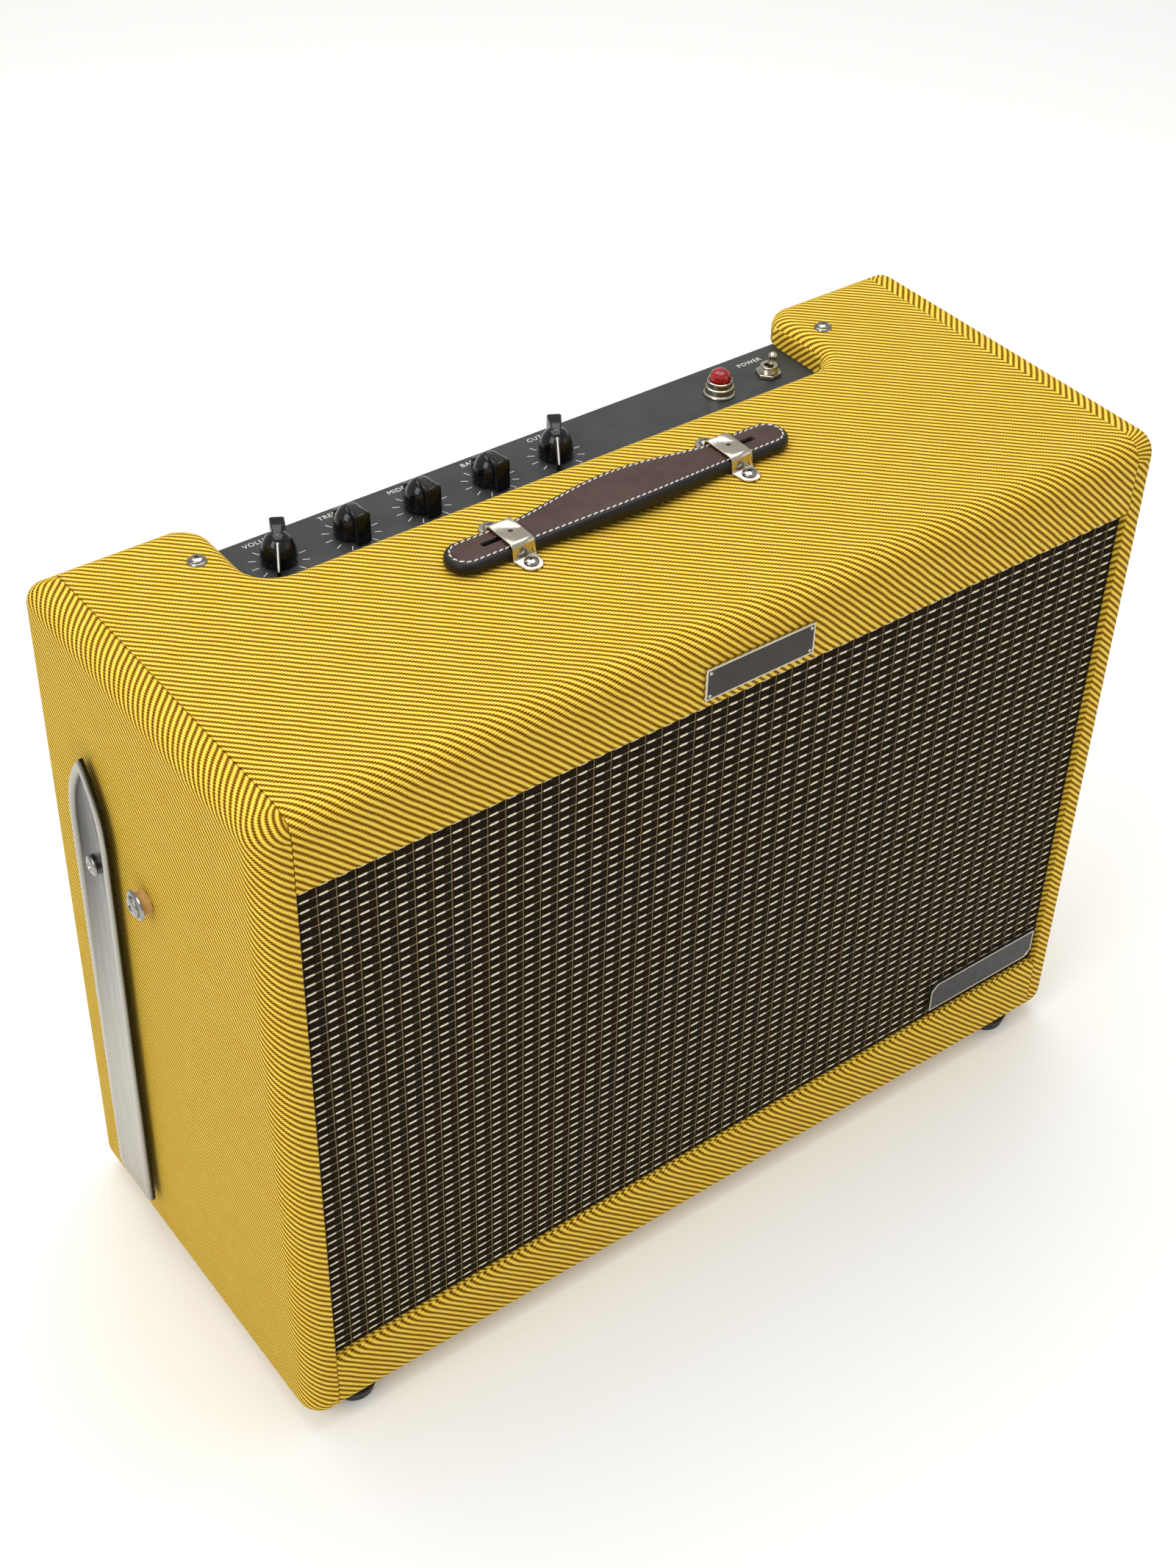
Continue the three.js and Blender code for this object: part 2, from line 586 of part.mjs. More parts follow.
function strapOutline() {
  const endRadius = HANDLE_END_WIDTH / 2;
  const straight = HANDLE_HALF_LENGTH - endRadius;
  const steps = 12;
  const upper = [];
  for (let i = 0; i <= steps; i += 1) {
    const x = -HANDLE_PIVOT_X + 2 * HANDLE_PIVOT_X * i / steps;
    upper.push([x, strapHalfWidth(x)]);
  }
  const shape = new THREE.Shape();
  shape.moveTo(-straight, endRadius);
  for (const [x, y] of upper) shape.lineTo(x, y);
  shape.lineTo(straight, endRadius);
  shape.absarc(straight, 0, endRadius, Math.PI / 2, -Math.PI / 2, true);
  for (const [x, y] of upper.reverse()) shape.lineTo(x, -y);
  shape.lineTo(-straight, -endRadius);
  shape.absarc(-straight, 0, endRadius, -Math.PI / 2, -Math.PI * 1.5, true);
  return shape;
}

// The strap seen from the side, cut into links that hinge at the brackets and in the middle.
// Link ends slope so that a link can tip without touching the next.
function strapLinks() {
  const low = TOP + HANDLE_UNDERSIDE;
  const high = TOP + HANDLE_END_TOP;
  const middle = TOP + HANDLE_MIDDLE_TOP;
  const pivot = HANDLE_PIVOT_X;
  const endRelief = 0.9;
  const middleRelief = 2.4;
  const end = outline([
    [-HANDLE_HALF_LENGTH - 1, low], [-pivot - GAP, low], [-pivot - endRelief, high],
    [-HANDLE_HALF_LENGTH - 1, high],
  ]);
  const half = outline([
    [-pivot + GAP, low], [-middleRelief, low], [-GAP, middle], [-pivot * 0.35, middle - 0.5],
    [-pivot * 0.7, high + 1.2], [-pivot + endRelief, high],
  ]);
  const plan = prism(strapOutline(), 'XY', low - 5, middle + 5).translate([0, handleRow, 0]);
  const across = HANDLE_MIDDLE_WIDTH;
  const chamfer = prism(outline([
    [-across / 2 - 1, low - 1], [across / 2 + 1, low - 1], [across / 2 + 1, high - 4.5],
    [across / 2 - 6.5, middle + 1], [-across / 2 + 6.5, middle + 1], [-across / 2 - 1, high - 4.5],
  ]), 'YZ', -BEYOND, BEYOND).translate([0, handleRow, 0]);
  const endChamfer = prism(outline([
    [-12.5, low - 1], [12.5, low - 1], [12.5, high - 5], [10.2, high + 1], [-10.2, high + 1], [-12.5, high - 5],
  ]), 'YZ', -BEYOND, BEYOND).translate([0, handleRow, 0]);
  const slice = (side) => prism(side, 'XZ', handleRow - across, handleRow + across).intersect(plan);
  return { end: slice(end).intersect(endChamfer), half: slice(half).intersect(chamfer) };
}

const links = strapLinks();
for (const [name, side] of [['left', -1], ['right', 1]]) {
  add(`handle_end_${name}`, mirrored(links.end, side), leather);
  add(`handle_half_${name}`, mirrored(links.half, side), leather);
}

// A strip bent over the strap, with a round foot on each side for its screw.
function handleBracket() {
  const t = 1.5;
  const foot = BRACKET_SCREW_SPACING / 2;
  const right = [
    [foot + 6.5, TOP + GAP], [foot + 6.5, TOP + GAP + t], [15, TOP + GAP + t], [12, TOP + BRACKET_TOP],
  ];
  const under = [[14, TOP + GAP], [11.2, TOP + BRACKET_TOP - t]];
  const flip = ([y, z]) => [-y, z];
  const section = outline([
    ...right, ...right.map(flip).reverse(), ...under.map(flip), ...[...under].reverse(),
  ]);
  const strip = prism(section, 'YZ', -BRACKET_LENGTH / 2, BRACKET_LENGTH / 2);
  const plan = new THREE.Shape();
  const w = BRACKET_LENGTH / 2;
  plan.moveTo(-w, -12);
  plan.lineTo(-w + 1, -foot);
  plan.absarc(0, -foot, w - 1, Math.PI, Math.PI * 2, false);
  plan.lineTo(w, -12);
  plan.lineTo(w, 12);
  plan.lineTo(w - 1, foot);
  plan.absarc(0, foot, w - 1, 0, Math.PI, false);
  plan.lineTo(-w, 12);
  const body = strip.intersect(prism(plan, 'XY', TOP - 5, TOP + 20));
  const holes = [-1, 1].map((row) => drill(2.3, 'Z', [0, row * foot, TOP], -5, 5, 12));
  return cut(body, ...holes);
}

const SCREW_NAMES = ['left_front', 'left_rear', 'right_front', 'right_rear'];
add('handle_bracket_left', handleBracket().translate([-BRACKET_X, handleRow, 0]), nickel);
add('handle_bracket_right', handleBracket().translate([BRACKET_X, handleRow, 0]), nickel);
bracketScrewPlaces.forEach(([x, y], i) => {
  const { radius, height, shank, length } = BRACKET_SCREW;
  const seat = [x, y, TOP + 2 * GAP + 1.5];
  const screw = turned(screwProfile(radius, height, shank, length), 'Z', seat, 10);
  add(`bracket_screw_${SCREW_NAMES[i]}`, screw, nickel);
});
chassisScrewPlaces.forEach(([x, y], i) => {
  const { cup, cupHeight, head, height, shank, length } = CHASSIS_SCREW;
  const profile = cupScrewProfile(cup, cupHeight, head, height, shank, length);
  add(`chassis_screw_${i === 0 ? 'left' : 'right'}`, turned(profile, 'Z', [x, y, TOP + GAP], 12), nickel);
});

// ---------------------------------------------------------------- tilt-back legs

// The leg's outline about its pivot, drawn in by an inset: straight sides, a pointed arch on top.
function legOutline(inset) {
  const w = LEG_WIDTH / 2;
  const rise = LEG_TIP - LEG_OGIVE_START;
  const arc = (rise * rise + w * w) / (2 * w);
  const r = arc - inset;
  const sweep = Math.acos((arc - w) / r);
  const bottom = -LEG_LENGTH_BELOW + inset;
  const corner = 5;
  const shape = new THREE.Shape();
  shape.moveTo(-w + inset, bottom + corner);
  shape.lineTo(-w + inset + corner, bottom);
  shape.lineTo(w - inset - corner, bottom);
  shape.lineTo(w - inset, bottom + corner);
  shape.absarc(w - arc, LEG_OGIVE_START, r, 0, sweep, false);
  shape.absarc(arc - w, LEG_OGIVE_START, r, Math.PI - sweep, Math.PI, false);
  return shape;
}

// A shallow channel, open towards the cabinet, with a raised rim round its outer face.
function tiltLeg() {
  const outer = -LEG_STAND_OFF;
  const inner = -LEG_INNER_GAP;
  const skin = 1.4;
  const rim = 1.1;
  const shell = prism(legOutline(0), 'YZ', outer, inner, 8);
  const hollow = prism(legOutline(skin), 'YZ', outer + rim + skin, inner + 5, 8);
  const face = prism(legOutline(5), 'YZ', outer - 5, outer + rim, 8);
  const boss = drill(LEG_BOSS.radius, 'X', [0, 0, 0], inner - 2, -LEG_BOSS.gap, 20);
  const pivotHole = drill(3.4, 'X', [0, 0, 0], -20, 20, 16);
  return cut(join(cut(shell, hollow, face), boss), pivotHole)
    .rotate([LEG_LEAN, 0, 0])
    .translate([-HALF, fromFront(LEG_PIVOT.row), upFromBase(LEG_PIVOT.height)]);
}

// Profiles turned about X stand along +X, so the left side's pieces are turned and then mirrored.
function sideScrew(profile, place, seat) {
  return turned(profile, 'X', [HALF + seat, fromFront(place.row), upFromBase(place.height)], 14);
}

const legScrew = sideScrew(
  screwProfile(LEG_SCREW.radius, LEG_SCREW.height, LEG_SCREW.shank, LEG_SCREW.length),
  LEG_PIVOT, LEG_STAND_OFF - 1.1 + GAP);
const stopSpacer = cut(
  sideScrew([[0, 0], [STOP_SPACER.radius, 0], [STOP_SPACER.radius, STOP_SPACER.thickness],
    [0, STOP_SPACER.thickness]], LEG_STOP, GAP),
  sideScrew([[0, -5], [2.9, -5], [2.9, 20], [0, 20]], LEG_STOP, GAP));
const stopScrew = sideScrew(
  cupScrewProfile(STOP_SCREW.cup, STOP_SCREW.cupHeight, STOP_SCREW.head, STOP_SCREW.height, STOP_SCREW.shank,
    STOP_SCREW.length),
  LEG_STOP, STOP_SPACER.thickness + 2 * GAP);

for (const [name, side] of [['left', -1], ['right', 1]]) {
  add(`tilt_leg_${name}`, mirrored(tiltLeg(), side), stainless);
  add(`leg_pivot_screw_${name}`, mirrored(legScrew, -side), nickel);
  add(`leg_stop_spacer_${name}`, mirrored(stopSpacer, -side), tanFibre);
  add(`leg_stop_screw_${name}`, mirrored(stopScrew, -side), nickel);
}

// ---------------------------------------------------------------- feet

const FOOT = { x: 265, frontRow: 19, rearRow: 237, top: 15, bottom: 12.5 };
for (const [end, row] of [['front', FOOT.frontRow], ['rear', FOOT.rearRow]]) {
  for (const [name, side] of [['left', -1], ['right', 1]]) {
    const profile = [
      [0, 0], [FOOT.bottom - 1, 0], [FOOT.bottom, 1], [FOOT.top, FOOT_HEIGHT - GAP], [0, FOOT_HEIGHT - GAP],
    ];
    add(`foot_${end}_${name}`, turned(profile, 'Z', [side * FOOT.x, fromFront(row), 0], 16), rubber);
  }
}

export default amplifier;
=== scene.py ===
"""Looks for the guitar amplifier: cloth-covered cabinet, woven grille, controls, handle and tilt-back legs.

Metres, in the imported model's frame: +Z up, the grille faces -Y, the floor is z = 0.
"""
import json
import math
import bmesh
import bpy
from mathutils import Matrix, Vector


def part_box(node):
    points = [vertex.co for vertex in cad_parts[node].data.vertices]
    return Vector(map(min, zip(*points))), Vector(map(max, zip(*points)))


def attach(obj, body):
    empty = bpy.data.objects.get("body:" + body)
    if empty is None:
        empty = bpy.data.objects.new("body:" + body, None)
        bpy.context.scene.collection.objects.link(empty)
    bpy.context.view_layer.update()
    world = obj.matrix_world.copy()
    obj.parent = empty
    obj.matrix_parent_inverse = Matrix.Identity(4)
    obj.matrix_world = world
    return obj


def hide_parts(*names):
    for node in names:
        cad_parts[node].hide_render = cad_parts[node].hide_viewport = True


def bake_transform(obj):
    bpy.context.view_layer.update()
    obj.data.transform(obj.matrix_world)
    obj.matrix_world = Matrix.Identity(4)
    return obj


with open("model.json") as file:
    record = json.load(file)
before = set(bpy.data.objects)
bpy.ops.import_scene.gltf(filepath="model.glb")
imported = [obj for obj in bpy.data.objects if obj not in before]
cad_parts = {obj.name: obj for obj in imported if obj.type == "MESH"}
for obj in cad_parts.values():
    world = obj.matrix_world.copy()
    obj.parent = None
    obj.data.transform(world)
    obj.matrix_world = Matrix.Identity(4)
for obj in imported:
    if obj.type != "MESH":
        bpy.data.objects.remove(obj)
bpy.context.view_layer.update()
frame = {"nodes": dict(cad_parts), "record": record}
NODES = frame["nodes"]
MM = 0.001

# ---------------------------------------------------------------- places worked out from the frame


def low(node):
    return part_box(node)[0]


def high(node):
    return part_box(node)[1]


def middle(node):
    return (low(node) + high(node)) / 2


FRONT = low("side_board_left").y
TOP = high("top_board").z
BASE = low("side_board_left").z
HALF = high("side_board_right").x
SEAM = high("top_board").x
PANEL = high("chassis").z
PANEL_REAR = high("chassis").y
CONTROL_ROW = middle("volume_pot").y
CONTROLS = ("volume", "treble", "middle", "bass", "cut")
HANDLE_ROW = middle("handle_end_left").y
FRONT_RADIUS = 15 * MM
REAR_RADIUS = 12 * MM
REAR_BOTTOM = high("side_board_left").y
REAR_TOP = high("top_board").y
LEG_LEAN = math.radians(2.7)
ROOT = "root"

# ---------------------------------------------------------------- node helpers


class Shader:
    """A node material under construction, with one Principled surface."""

    def __init__(self, name, roughness, metallic=0.0, color=None, **sockets):
        self.material = bpy.data.materials.new(name)
        self.material.use_nodes = True
        self.tree = self.material.node_tree
        self.surface = next(n for n in self.tree.nodes if n.type == "BSDF_PRINCIPLED")
        self.set("Roughness", roughness)
        self.set("Metallic", metallic)
        if color is not None:
            self.set("Base Color", (*color, 1))
        for key, value in sockets.items():
            self.set(key.replace("_", " "), value)

    def set(self, socket, value):
        self.surface.inputs[socket].default_value = value

    def link(self, output, socket):
        self.tree.links.new(output, self.surface.inputs[socket])

    def node(self, kind, **settings):
        made = self.tree.nodes.new(kind)
        for key, value in settings.items():
            setattr(made, key, value)
        return made

    def feed(self, node, socket, value):
        if isinstance(value, bpy.types.NodeSocket):
            self.tree.links.new(value, node.inputs[socket])
        else:
            node.inputs[socket].default_value = value

    def math(self, operation, a, b=0.0, c=0.0):
        made = self.node("ShaderNodeMath", operation=operation)
        for i, value in enumerate((a, b, c)):
            self.feed(made, i, value)
        return made.outputs[0]

    def place(self, source="Object"):
        """X, Y and Z of the point, in millimetres."""
        if source == "cloth":
            output = self.node("ShaderNodeUVMap", uv_map="cloth").outputs["UV"]
        else:
            output = self.node("ShaderNodeTexCoord").outputs[source]
        scale = self.node("ShaderNodeVectorMath", operation="SCALE")
        self.feed(scale, 0, output)
        scale.inputs["Scale"].default_value = 1000
        split = self.node("ShaderNodeSeparateXYZ")
        self.feed(split, 0, scale.outputs[0])
        return scale.outputs[0], split.outputs

    def noise(self, vector, scale, detail=2.0, roughness=0.5):
        made = self.node("ShaderNodeTexNoise")
        self.feed(made, "Vector", vector)
        self.feed(made, "Scale", scale)
        self.feed(made, "Detail", detail)
        self.feed(made, "Roughness", roughness)
        return made.outputs["Fac"]

    def squeeze(self, vector, x=1.0, y=1.0, z=1.0):
        made = self.node("ShaderNodeMapping")
        self.feed(made, "Vector", vector)
        made.inputs["Scale"].default_value = (x, y, z)
        return made.outputs[0]

    def wave(self, cycles):
        """Cosine of a number of cycles, from -1 to 1."""
        return self.math("COSINE", self.math("MULTIPLY", cycles, 2 * math.pi))

    def ramp(self, value, *stops):
        made = self.node("ShaderNodeValToRGB")
        self.feed(made, "Fac", value)
        ramp = made.color_ramp
        while len(ramp.elements) < len(stops):
            ramp.elements.new(0.5)
        for element, (position, color) in zip(ramp.elements, stops):
            element.position = position
            element.color = (*color, 1)
        return made.outputs["Color"]

    def steps(self, value, start, end, low_value=0.0, high_value=1.0):
        made = self.node("ShaderNodeMapRange")
        self.feed(made, "Value", value)
        limits = {"From Min": start, "From Max": end, "To Min": low_value, "To Max": high_value}
        for key, number in limits.items():
            made.inputs[key].default_value = number
        return made.outputs[0]

    def mix(self, factor, a, b):
        made = self.node("ShaderNodeMix", data_type="RGBA")
        self.feed(made, 0, factor)
        for index, value in ((6, a), (7, b)):
            self.feed(made, index, value if isinstance(value, bpy.types.NodeSocket) else (*value, 1))
        return made.outputs[2]

    def bump(self, height, distance, strength=1.0):
        made = self.node("ShaderNodeBump")
        self.feed(made, "Height", height)
        made.inputs["Distance"].default_value = distance
        made.inputs["Strength"].default_value = strength
        self.link(made.outputs[0], "Normal")


# ---------------------------------------------------------------- materials

LEG_OUTER = 8.0                 # millimetres from the cabinet's side to a leg's outer face

# The cloth repeats on a slanting lattice: wales at about 44 degrees, crossed by the ends of its floats.
WALE = (0.2000, 0.2055)
FLOAT = (0.2030, -0.6440)
STRAW = (0.94, 0.75, 0.14)
GOLD = (0.78, 0.50, 0.026)
BRASS = (0.46, 0.235, 0.005)
BROWN = (0.120, 0.052, 0.002)


def cloth_material():
    s = Shader("tweed", 0.75, Specular_IOR_Level=0.12)
    vector, (u, v, _) = s.place("cloth")
    slow = s.noise(vector, 0.06, 3)
    drift = s.math("MULTIPLY", s.math("SUBTRACT", s.noise(vector, 0.05, 2), 0.5), 0.35)
    wale = s.math("ADD", s.math("MULTIPLY", u, WALE[0]), s.math("MULTIPLY_ADD", v, WALE[1], drift))
    float_end = s.math("ADD", s.math("MULTIPLY", u, FLOAT[0]), s.math("MULTIPLY", v, FLOAT[1]))
    fray = s.math("MULTIPLY", s.math("SUBTRACT", s.noise(vector, 1.6, 3), 0.5), 1.3)
    height = s.math("ADD", s.wave(wale), s.math("MULTIPLY_ADD", s.wave(float_end), 0.42, fray))
    share = s.steps(height, -1.25, 1.25)
    base = s.ramp(share, (0.17, BROWN), (0.38, BRASS), (0.57, GOLD), (0.90, STRAW))
    warm = s.mix(s.steps(slow, 0.35, 0.7), (1.0, 1.0, 1.0), (1.0, 0.93, 0.80))
    tint = s.node("ShaderNodeMix", data_type="RGBA", blend_type="MULTIPLY")
    tint.inputs[0].default_value = 1.0
    s.feed(tint, 6, base)
    s.feed(tint, 7, warm)
    s.link(tint.outputs[2], "Base Color")
    s.link(s.steps(share, 0.2, 0.8, 0.85, 0.65), "Roughness")
    s.bump(share, 0.5 * MM, 0.9)
    return s.material


GRILLE_ROW = 6.4                # millimetres between the pale threads
GRILLE_DASH = 11.15             # millimetres from one doubled stretch to the next


def grille_material():
    s = Shader("grille_cloth", 0.85, Specular_IOR_Level=0.04)
    vector, (x, _, z) = s.place()
    waver = s.math("MULTIPLY", s.math("SUBTRACT", s.noise(vector, 0.12, 2), 0.5), 0.7)
    row = s.math("MULTIPLY", s.math("ADD", z, waver), 1 / GRILLE_ROW)
    row_offset = s.math("SUBTRACT", s.math("FRACT", row), 0.5)
    from_thread = s.math("MULTIPLY", s.math("ABSOLUTE", row_offset), GRILLE_ROW)
    dash = s.steps(s.wave(s.math("MULTIPLY", x, 1 / GRILLE_DASH)), -0.1, 0.25)
    half_width = s.math("MULTIPLY_ADD", dash, 0.44, 0.32)
    inside = s.math("SUBTRACT", half_width, from_thread)
    thread = s.steps(inside, -0.12, 0.28)
    twist = s.wave(s.math("ADD", s.math("MULTIPLY", x, 0.95), s.math("MULTIPLY", z, 1.1)))
    cream = s.mix(s.steps(twist, -1, 1), (0.78, 0.68, 0.46), (1.0, 0.98, 0.78))
    cream = s.mix(dash, (0.46, 0.38, 0.24), cream)
    rib = s.wave(s.math("MULTIPLY", x, 1 / 1.12))
    weft = s.wave(s.math("MULTIPLY", z, 1 / 0.75))
    speck = s.noise(vector, 1.3, 3, 0.7)
    weave = s.math("MULTIPLY_ADD", s.math("MULTIPLY", rib, weft), 0.25, speck)
    dark = s.ramp(weave, (0.35, (0.004, 0.003, 0.001)), (0.62, (0.014, 0.009, 0.004)),
                  (0.85, (0.09, 0.062, 0.034)))
    warp = s.steps(s.wave(s.math("MULTIPLY_ADD", x, 1 / GRILLE_DASH, 0.36)), 0.975, 1.0)
    dark = s.mix(s.math("MULTIPLY", warp, 0.7), dark, (0.30, 0.19, 0.10))
    s.link(s.mix(thread, dark, cream), "Base Color")
    s.bump(s.math("MULTIPLY_ADD", weave, 0.35, thread), 0.5 * MM, 0.9)
    return s.material


def speckled(name, roughness, color, second, scale, grain=0.08, bump=0.05, **sockets):
    """A coated or moulded surface whose colour and gloss drift a little, with a fine grain."""
    s = Shader(name, roughness, **sockets)
    vector, _ = s.place()
    cloud = s.noise(vector, scale, 4)
    fine = s.noise(vector, scale * 18, 3)
    s.link(s.mix(s.steps(cloud, 0.35, 0.65), color, second), "Base Color")
    s.link(s.steps(fine, 0.3, 0.7, roughness - grain, roughness + grain), "Roughness")
    s.bump(fine, bump * MM, 0.35)
    return s.material


def brushed_metal(name, color, roughness, along=(1, 1, 1), scratch=0.25, depth=0.02):
    s = Shader(name, roughness, metallic=1.0)
    vector, _ = s.place()
    streak = s.noise(s.squeeze(vector, *along), 1.0, 4, 0.65)
    cloud = s.noise(vector, 0.08, 3)
    s.link(s.mix(s.steps(cloud, 0.3, 0.7), color, tuple(c * 0.86 for c in color)), "Base Color")
    s.link(s.steps(streak, 0.25, 0.75, roughness, roughness + scratch), "Roughness")
    s.bump(streak, depth * MM, 0.3)
    return s.material


def leather_material(name, color, second, gloss):
    s = Shader(name, gloss, Specular_IOR_Level=0.28)
    vector, _ = s.place()
    pores = s.node("ShaderNodeTexVoronoi", feature="DISTANCE_TO_EDGE")
    s.feed(pores, "Vector", vector)
    s.feed(pores, "Scale", 1.1)
    cloud = s.noise(vector, 0.09, 4)
    crease = s.steps(pores.outputs["Distance"], 0.0, 0.12)
    s.link(s.mix(s.steps(cloud, 0.3, 0.7), color, second), "Base Color")
    s.link(s.steps(cloud, 0.3, 0.7, gloss - 0.06, gloss + 0.08), "Roughness")
    s.bump(s.math("MULTIPLY_ADD", s.noise(vector, 2.4, 2), 0.5, crease), 0.06 * MM, 0.6)
    return s.material


def leg_material():
    """Brushed stainless steel, with painted shade that makes it darker the deeper the leg is dished."""
    s = Shader("stainless", 0.15, metallic=1.0)
    vector, (x, _, _) = s.place()
    streak = s.noise(s.squeeze(vector, 1.2, 1.2, 0.03), 1.0, 4, 0.65)
    roll = s.noise(s.squeeze(vector, 0.0, 0.16, 0.003), 1.0, 2)
    # Painted shade and dark reflection: the colour darkens with depth below the leg's outer face, so in the
    # dish round the pivot and on the back edge, wavering across the leg with the roll noise. The light colour
    # is the steel's own.
    sunk = s.math("SUBTRACT", HALF / MM + LEG_OUTER, s.math("ABSOLUTE", x))
    shade = s.steps(s.math("MULTIPLY_ADD", roll, 0.7, sunk), 0.65, 2.3)
    s.link(s.mix(shade, (0.37, 0.352, 0.305), (0.030, 0.028, 0.024)), "Base Color")
    s.link(s.steps(streak, 0.25, 0.75, 0.14, 0.34), "Roughness")
    s.bump(s.math("MULTIPLY_ADD", roll, 12.0, streak), 0.02 * MM, 0.4)
    return s.material


def jewel_material():
    s = Shader("red_glass", 0.08, Specular_IOR_Level=0.5, Coat_Weight=0.15, Coat_Roughness=0.03)
    vector, _ = s.place()
    cloud = s.steps(s.noise(vector, 0.45, 2), 0.40, 0.60)
    s.link(s.mix(cloud, (0.42, 0.002, 0.008), (0.10, 0.0, 0.002)), "Base Color")
    s.set("Emission Color", (0.9, 0.01, 0.02, 1))
    s.set("Emission Strength", 0.05)
    return s.material


def thread_material():
    s = Shader("stitch_thread", 0.7, Sheen_Weight=0.2)
    _, (x, y, _) = s.place()
    twist = s.wave(s.math("MULTIPLY_ADD", x, 1.6, s.math("MULTIPLY", y, 1.6)))
    s.link(s.mix(s.steps(twist, -1, 1), (0.62, 0.57, 0.48), (0.88, 0.86, 0.80)), "Base Color")
    s.bump(twist, 0.08 * MM)
    return s.material


M = {
    "tweed": cloth_material(),
    "grille_cloth": grille_material(),
    "panel_paint": speckled("panel_paint", 0.42, (0.027, 0.031, 0.030), (0.036, 0.041, 0.039), 0.05,
                            Specular_IOR_Level=0.34),
    "black_plastic": speckled("black_plastic", 0.10, (0.003, 0.003, 0.004), (0.006, 0.006, 0.007), 0.2,
                              0.03, 0.004, Specular_IOR_Level=0.36),
    "dark_metal": speckled("dark_metal", 0.4, (0.035, 0.035, 0.038), (0.05, 0.05, 0.052), 0.15, Metallic=0.6),
    "nickel": brushed_metal("nickel", (0.58, 0.53, 0.43), 0.12, (0.5, 0.5, 0.5), 0.12),
    "stainless": leg_material(),
    "screw_steel": brushed_metal("screw_steel", (0.34, 0.33, 0.31), 0.08, (0.5, 0.5, 0.5), 0.12),
    "badge_face": brushed_metal("badge_face", (0.055, 0.05, 0.045), 0.12, (0.04, 1.2, 1.2), 0.12),
    "red_glass": jewel_material(),
    "leather": leather_material("leather", (0.066, 0.030, 0.022), (0.046, 0.022, 0.017), 0.42),
    "leather_edge": leather_material("leather_edge", (0.006, 0.0055, 0.005), (0.010, 0.009, 0.008), 0.34),
    "thread": thread_material(),
    "fibre": speckled("fibre", 0.5, (0.50, 0.29, 0.10), (0.60, 0.37, 0.14), 0.3),
    "rubber": speckled("rubber", 0.75, (0.014, 0.014, 0.014), (0.024, 0.023, 0.022), 0.4, 0.1, 0.1),
    "print": speckled("print", 0.6, (0.72, 0.72, 0.68), (0.62, 0.62, 0.58), 0.8, 0.05, 0.01),
    "plywood": speckled("plywood", 0.7, (0.50, 0.34, 0.17), (0.60, 0.43, 0.24), 0.05),
    "paper": speckled("speaker_paper", 0.9, (0.02, 0.02, 0.02), (0.035, 0.034, 0.03), 0.2),
    "green_board": speckled("green_board", 0.5, (0.01, 0.10, 0.03), (0.02, 0.14, 0.05), 0.1),
}
# Every slot of the record has the material of its own name, but for two.
OTHER_FINISH = {"speaker_paper": "paper", "circuit_board": "green_board"}



def finish_of(slot):
    return OTHER_FINISH.get(slot, slot)


# ---------------------------------------------------------------- mesh helpers

AXIS_TURN = {
    "Z": Matrix.Identity(4),
    "X": Matrix.Rotation(math.pi / 2, 4, "Y"),
    "-X": Matrix.Rotation(-math.pi / 2, 4, "Y"),
    "Y": Matrix.Rotation(-math.pi / 2, 4, "X"),
}


def new_object(name, mesh, material, body=ROOT):
    obj = bpy.data.objects.new(name, mesh)
    bpy.context.scene.collection.objects.link(obj)
    if not mesh.materials:
        mesh.materials.append(M[material])
    if body:
        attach(obj, body)
    return obj


def smooth(mesh, angle):
    """Shades a mesh smooth, but for the edges sharper than an angle in degrees."""
    mesh.shade_smooth()
    mesh.set_sharp_from_angle(angle=math.radians(angle))


def from_bmesh(name, bm, smooth_angle=35):
    bmesh.ops.recalc_face_normals(bm, faces=bm.faces)
    mesh = bpy.data.meshes.new(name)
    bm.to_mesh(mesh)
    bm.free()
    smooth(mesh, smooth_angle)
    return mesh


def add_mesh(bm, mesh):
    """Joins a mesh to a bmesh, and drops it."""
    bm.from_mesh(mesh)
    bpy.data.meshes.remove(mesh)


def bridge(bm, rings, first=False, last=False):
    """Faces between each ring of corners and the next, and over the first and the last ring where asked."""
    for a, b in zip(rings, rings[1:]):
        for i in range(len(a)):
            j = (i + 1) % len(a)
            bm.faces.new((a[i], a[j], b[j], b[i]))
    if first:
        bm.faces.new(rings[0])
    if last:
        bm.faces.new(rings[-1])


def apply_modifiers(obj):
    """Replaces the object's mesh with what its modifiers make of it."""
    graph = bpy.context.evaluated_depsgraph_get()
    graph.update()
    mesh = bpy.data.meshes.new_from_object(obj.evaluated_get(graph))
    obj.modifiers.clear()
    obj.data = mesh
    return mesh


def lathe(name, profile, centre, axis="Z", segments=48, smooth_angle=32):
    """A mesh turned from radius and height pairs in millimetres, which start and end on the axis or close."""
    bm = bmesh.new()
    rings = []
    for r, h in profile:
        outline = polygon(r, segments) if r else [(0, 0)]
        rings.append([bm.verts.new((x, y, h * MM)) for x, y in outline])
    for a, b in zip(rings, rings[1:]):
        for i in range(segments):
            j = (i + 1) % segments
            corners = [a[i % len(a)], a[j % len(a)], b[j % len(b)], b[i % len(b)]]
            face = list(dict.fromkeys(corners))
            if len(face) > 2:
                bm.faces.new(face)
    bmesh.ops.remove_doubles(bm, verts=bm.verts, dist=1e-8)
    bm.transform(Matrix.Translation(centre) @ AXIS_TURN[axis])
    return from_bmesh(name, bm, smooth_angle)


def polygon(radius, sides, turn=0):
    """A regular outline about the origin: radius in millimetres, turn in degrees, points in metres."""
    angles = [math.radians(turn) + 2 * math.pi * i / sides for i in range(sides)]
    return [(radius * MM * math.cos(a), radius * MM * math.sin(a)) for a in angles]


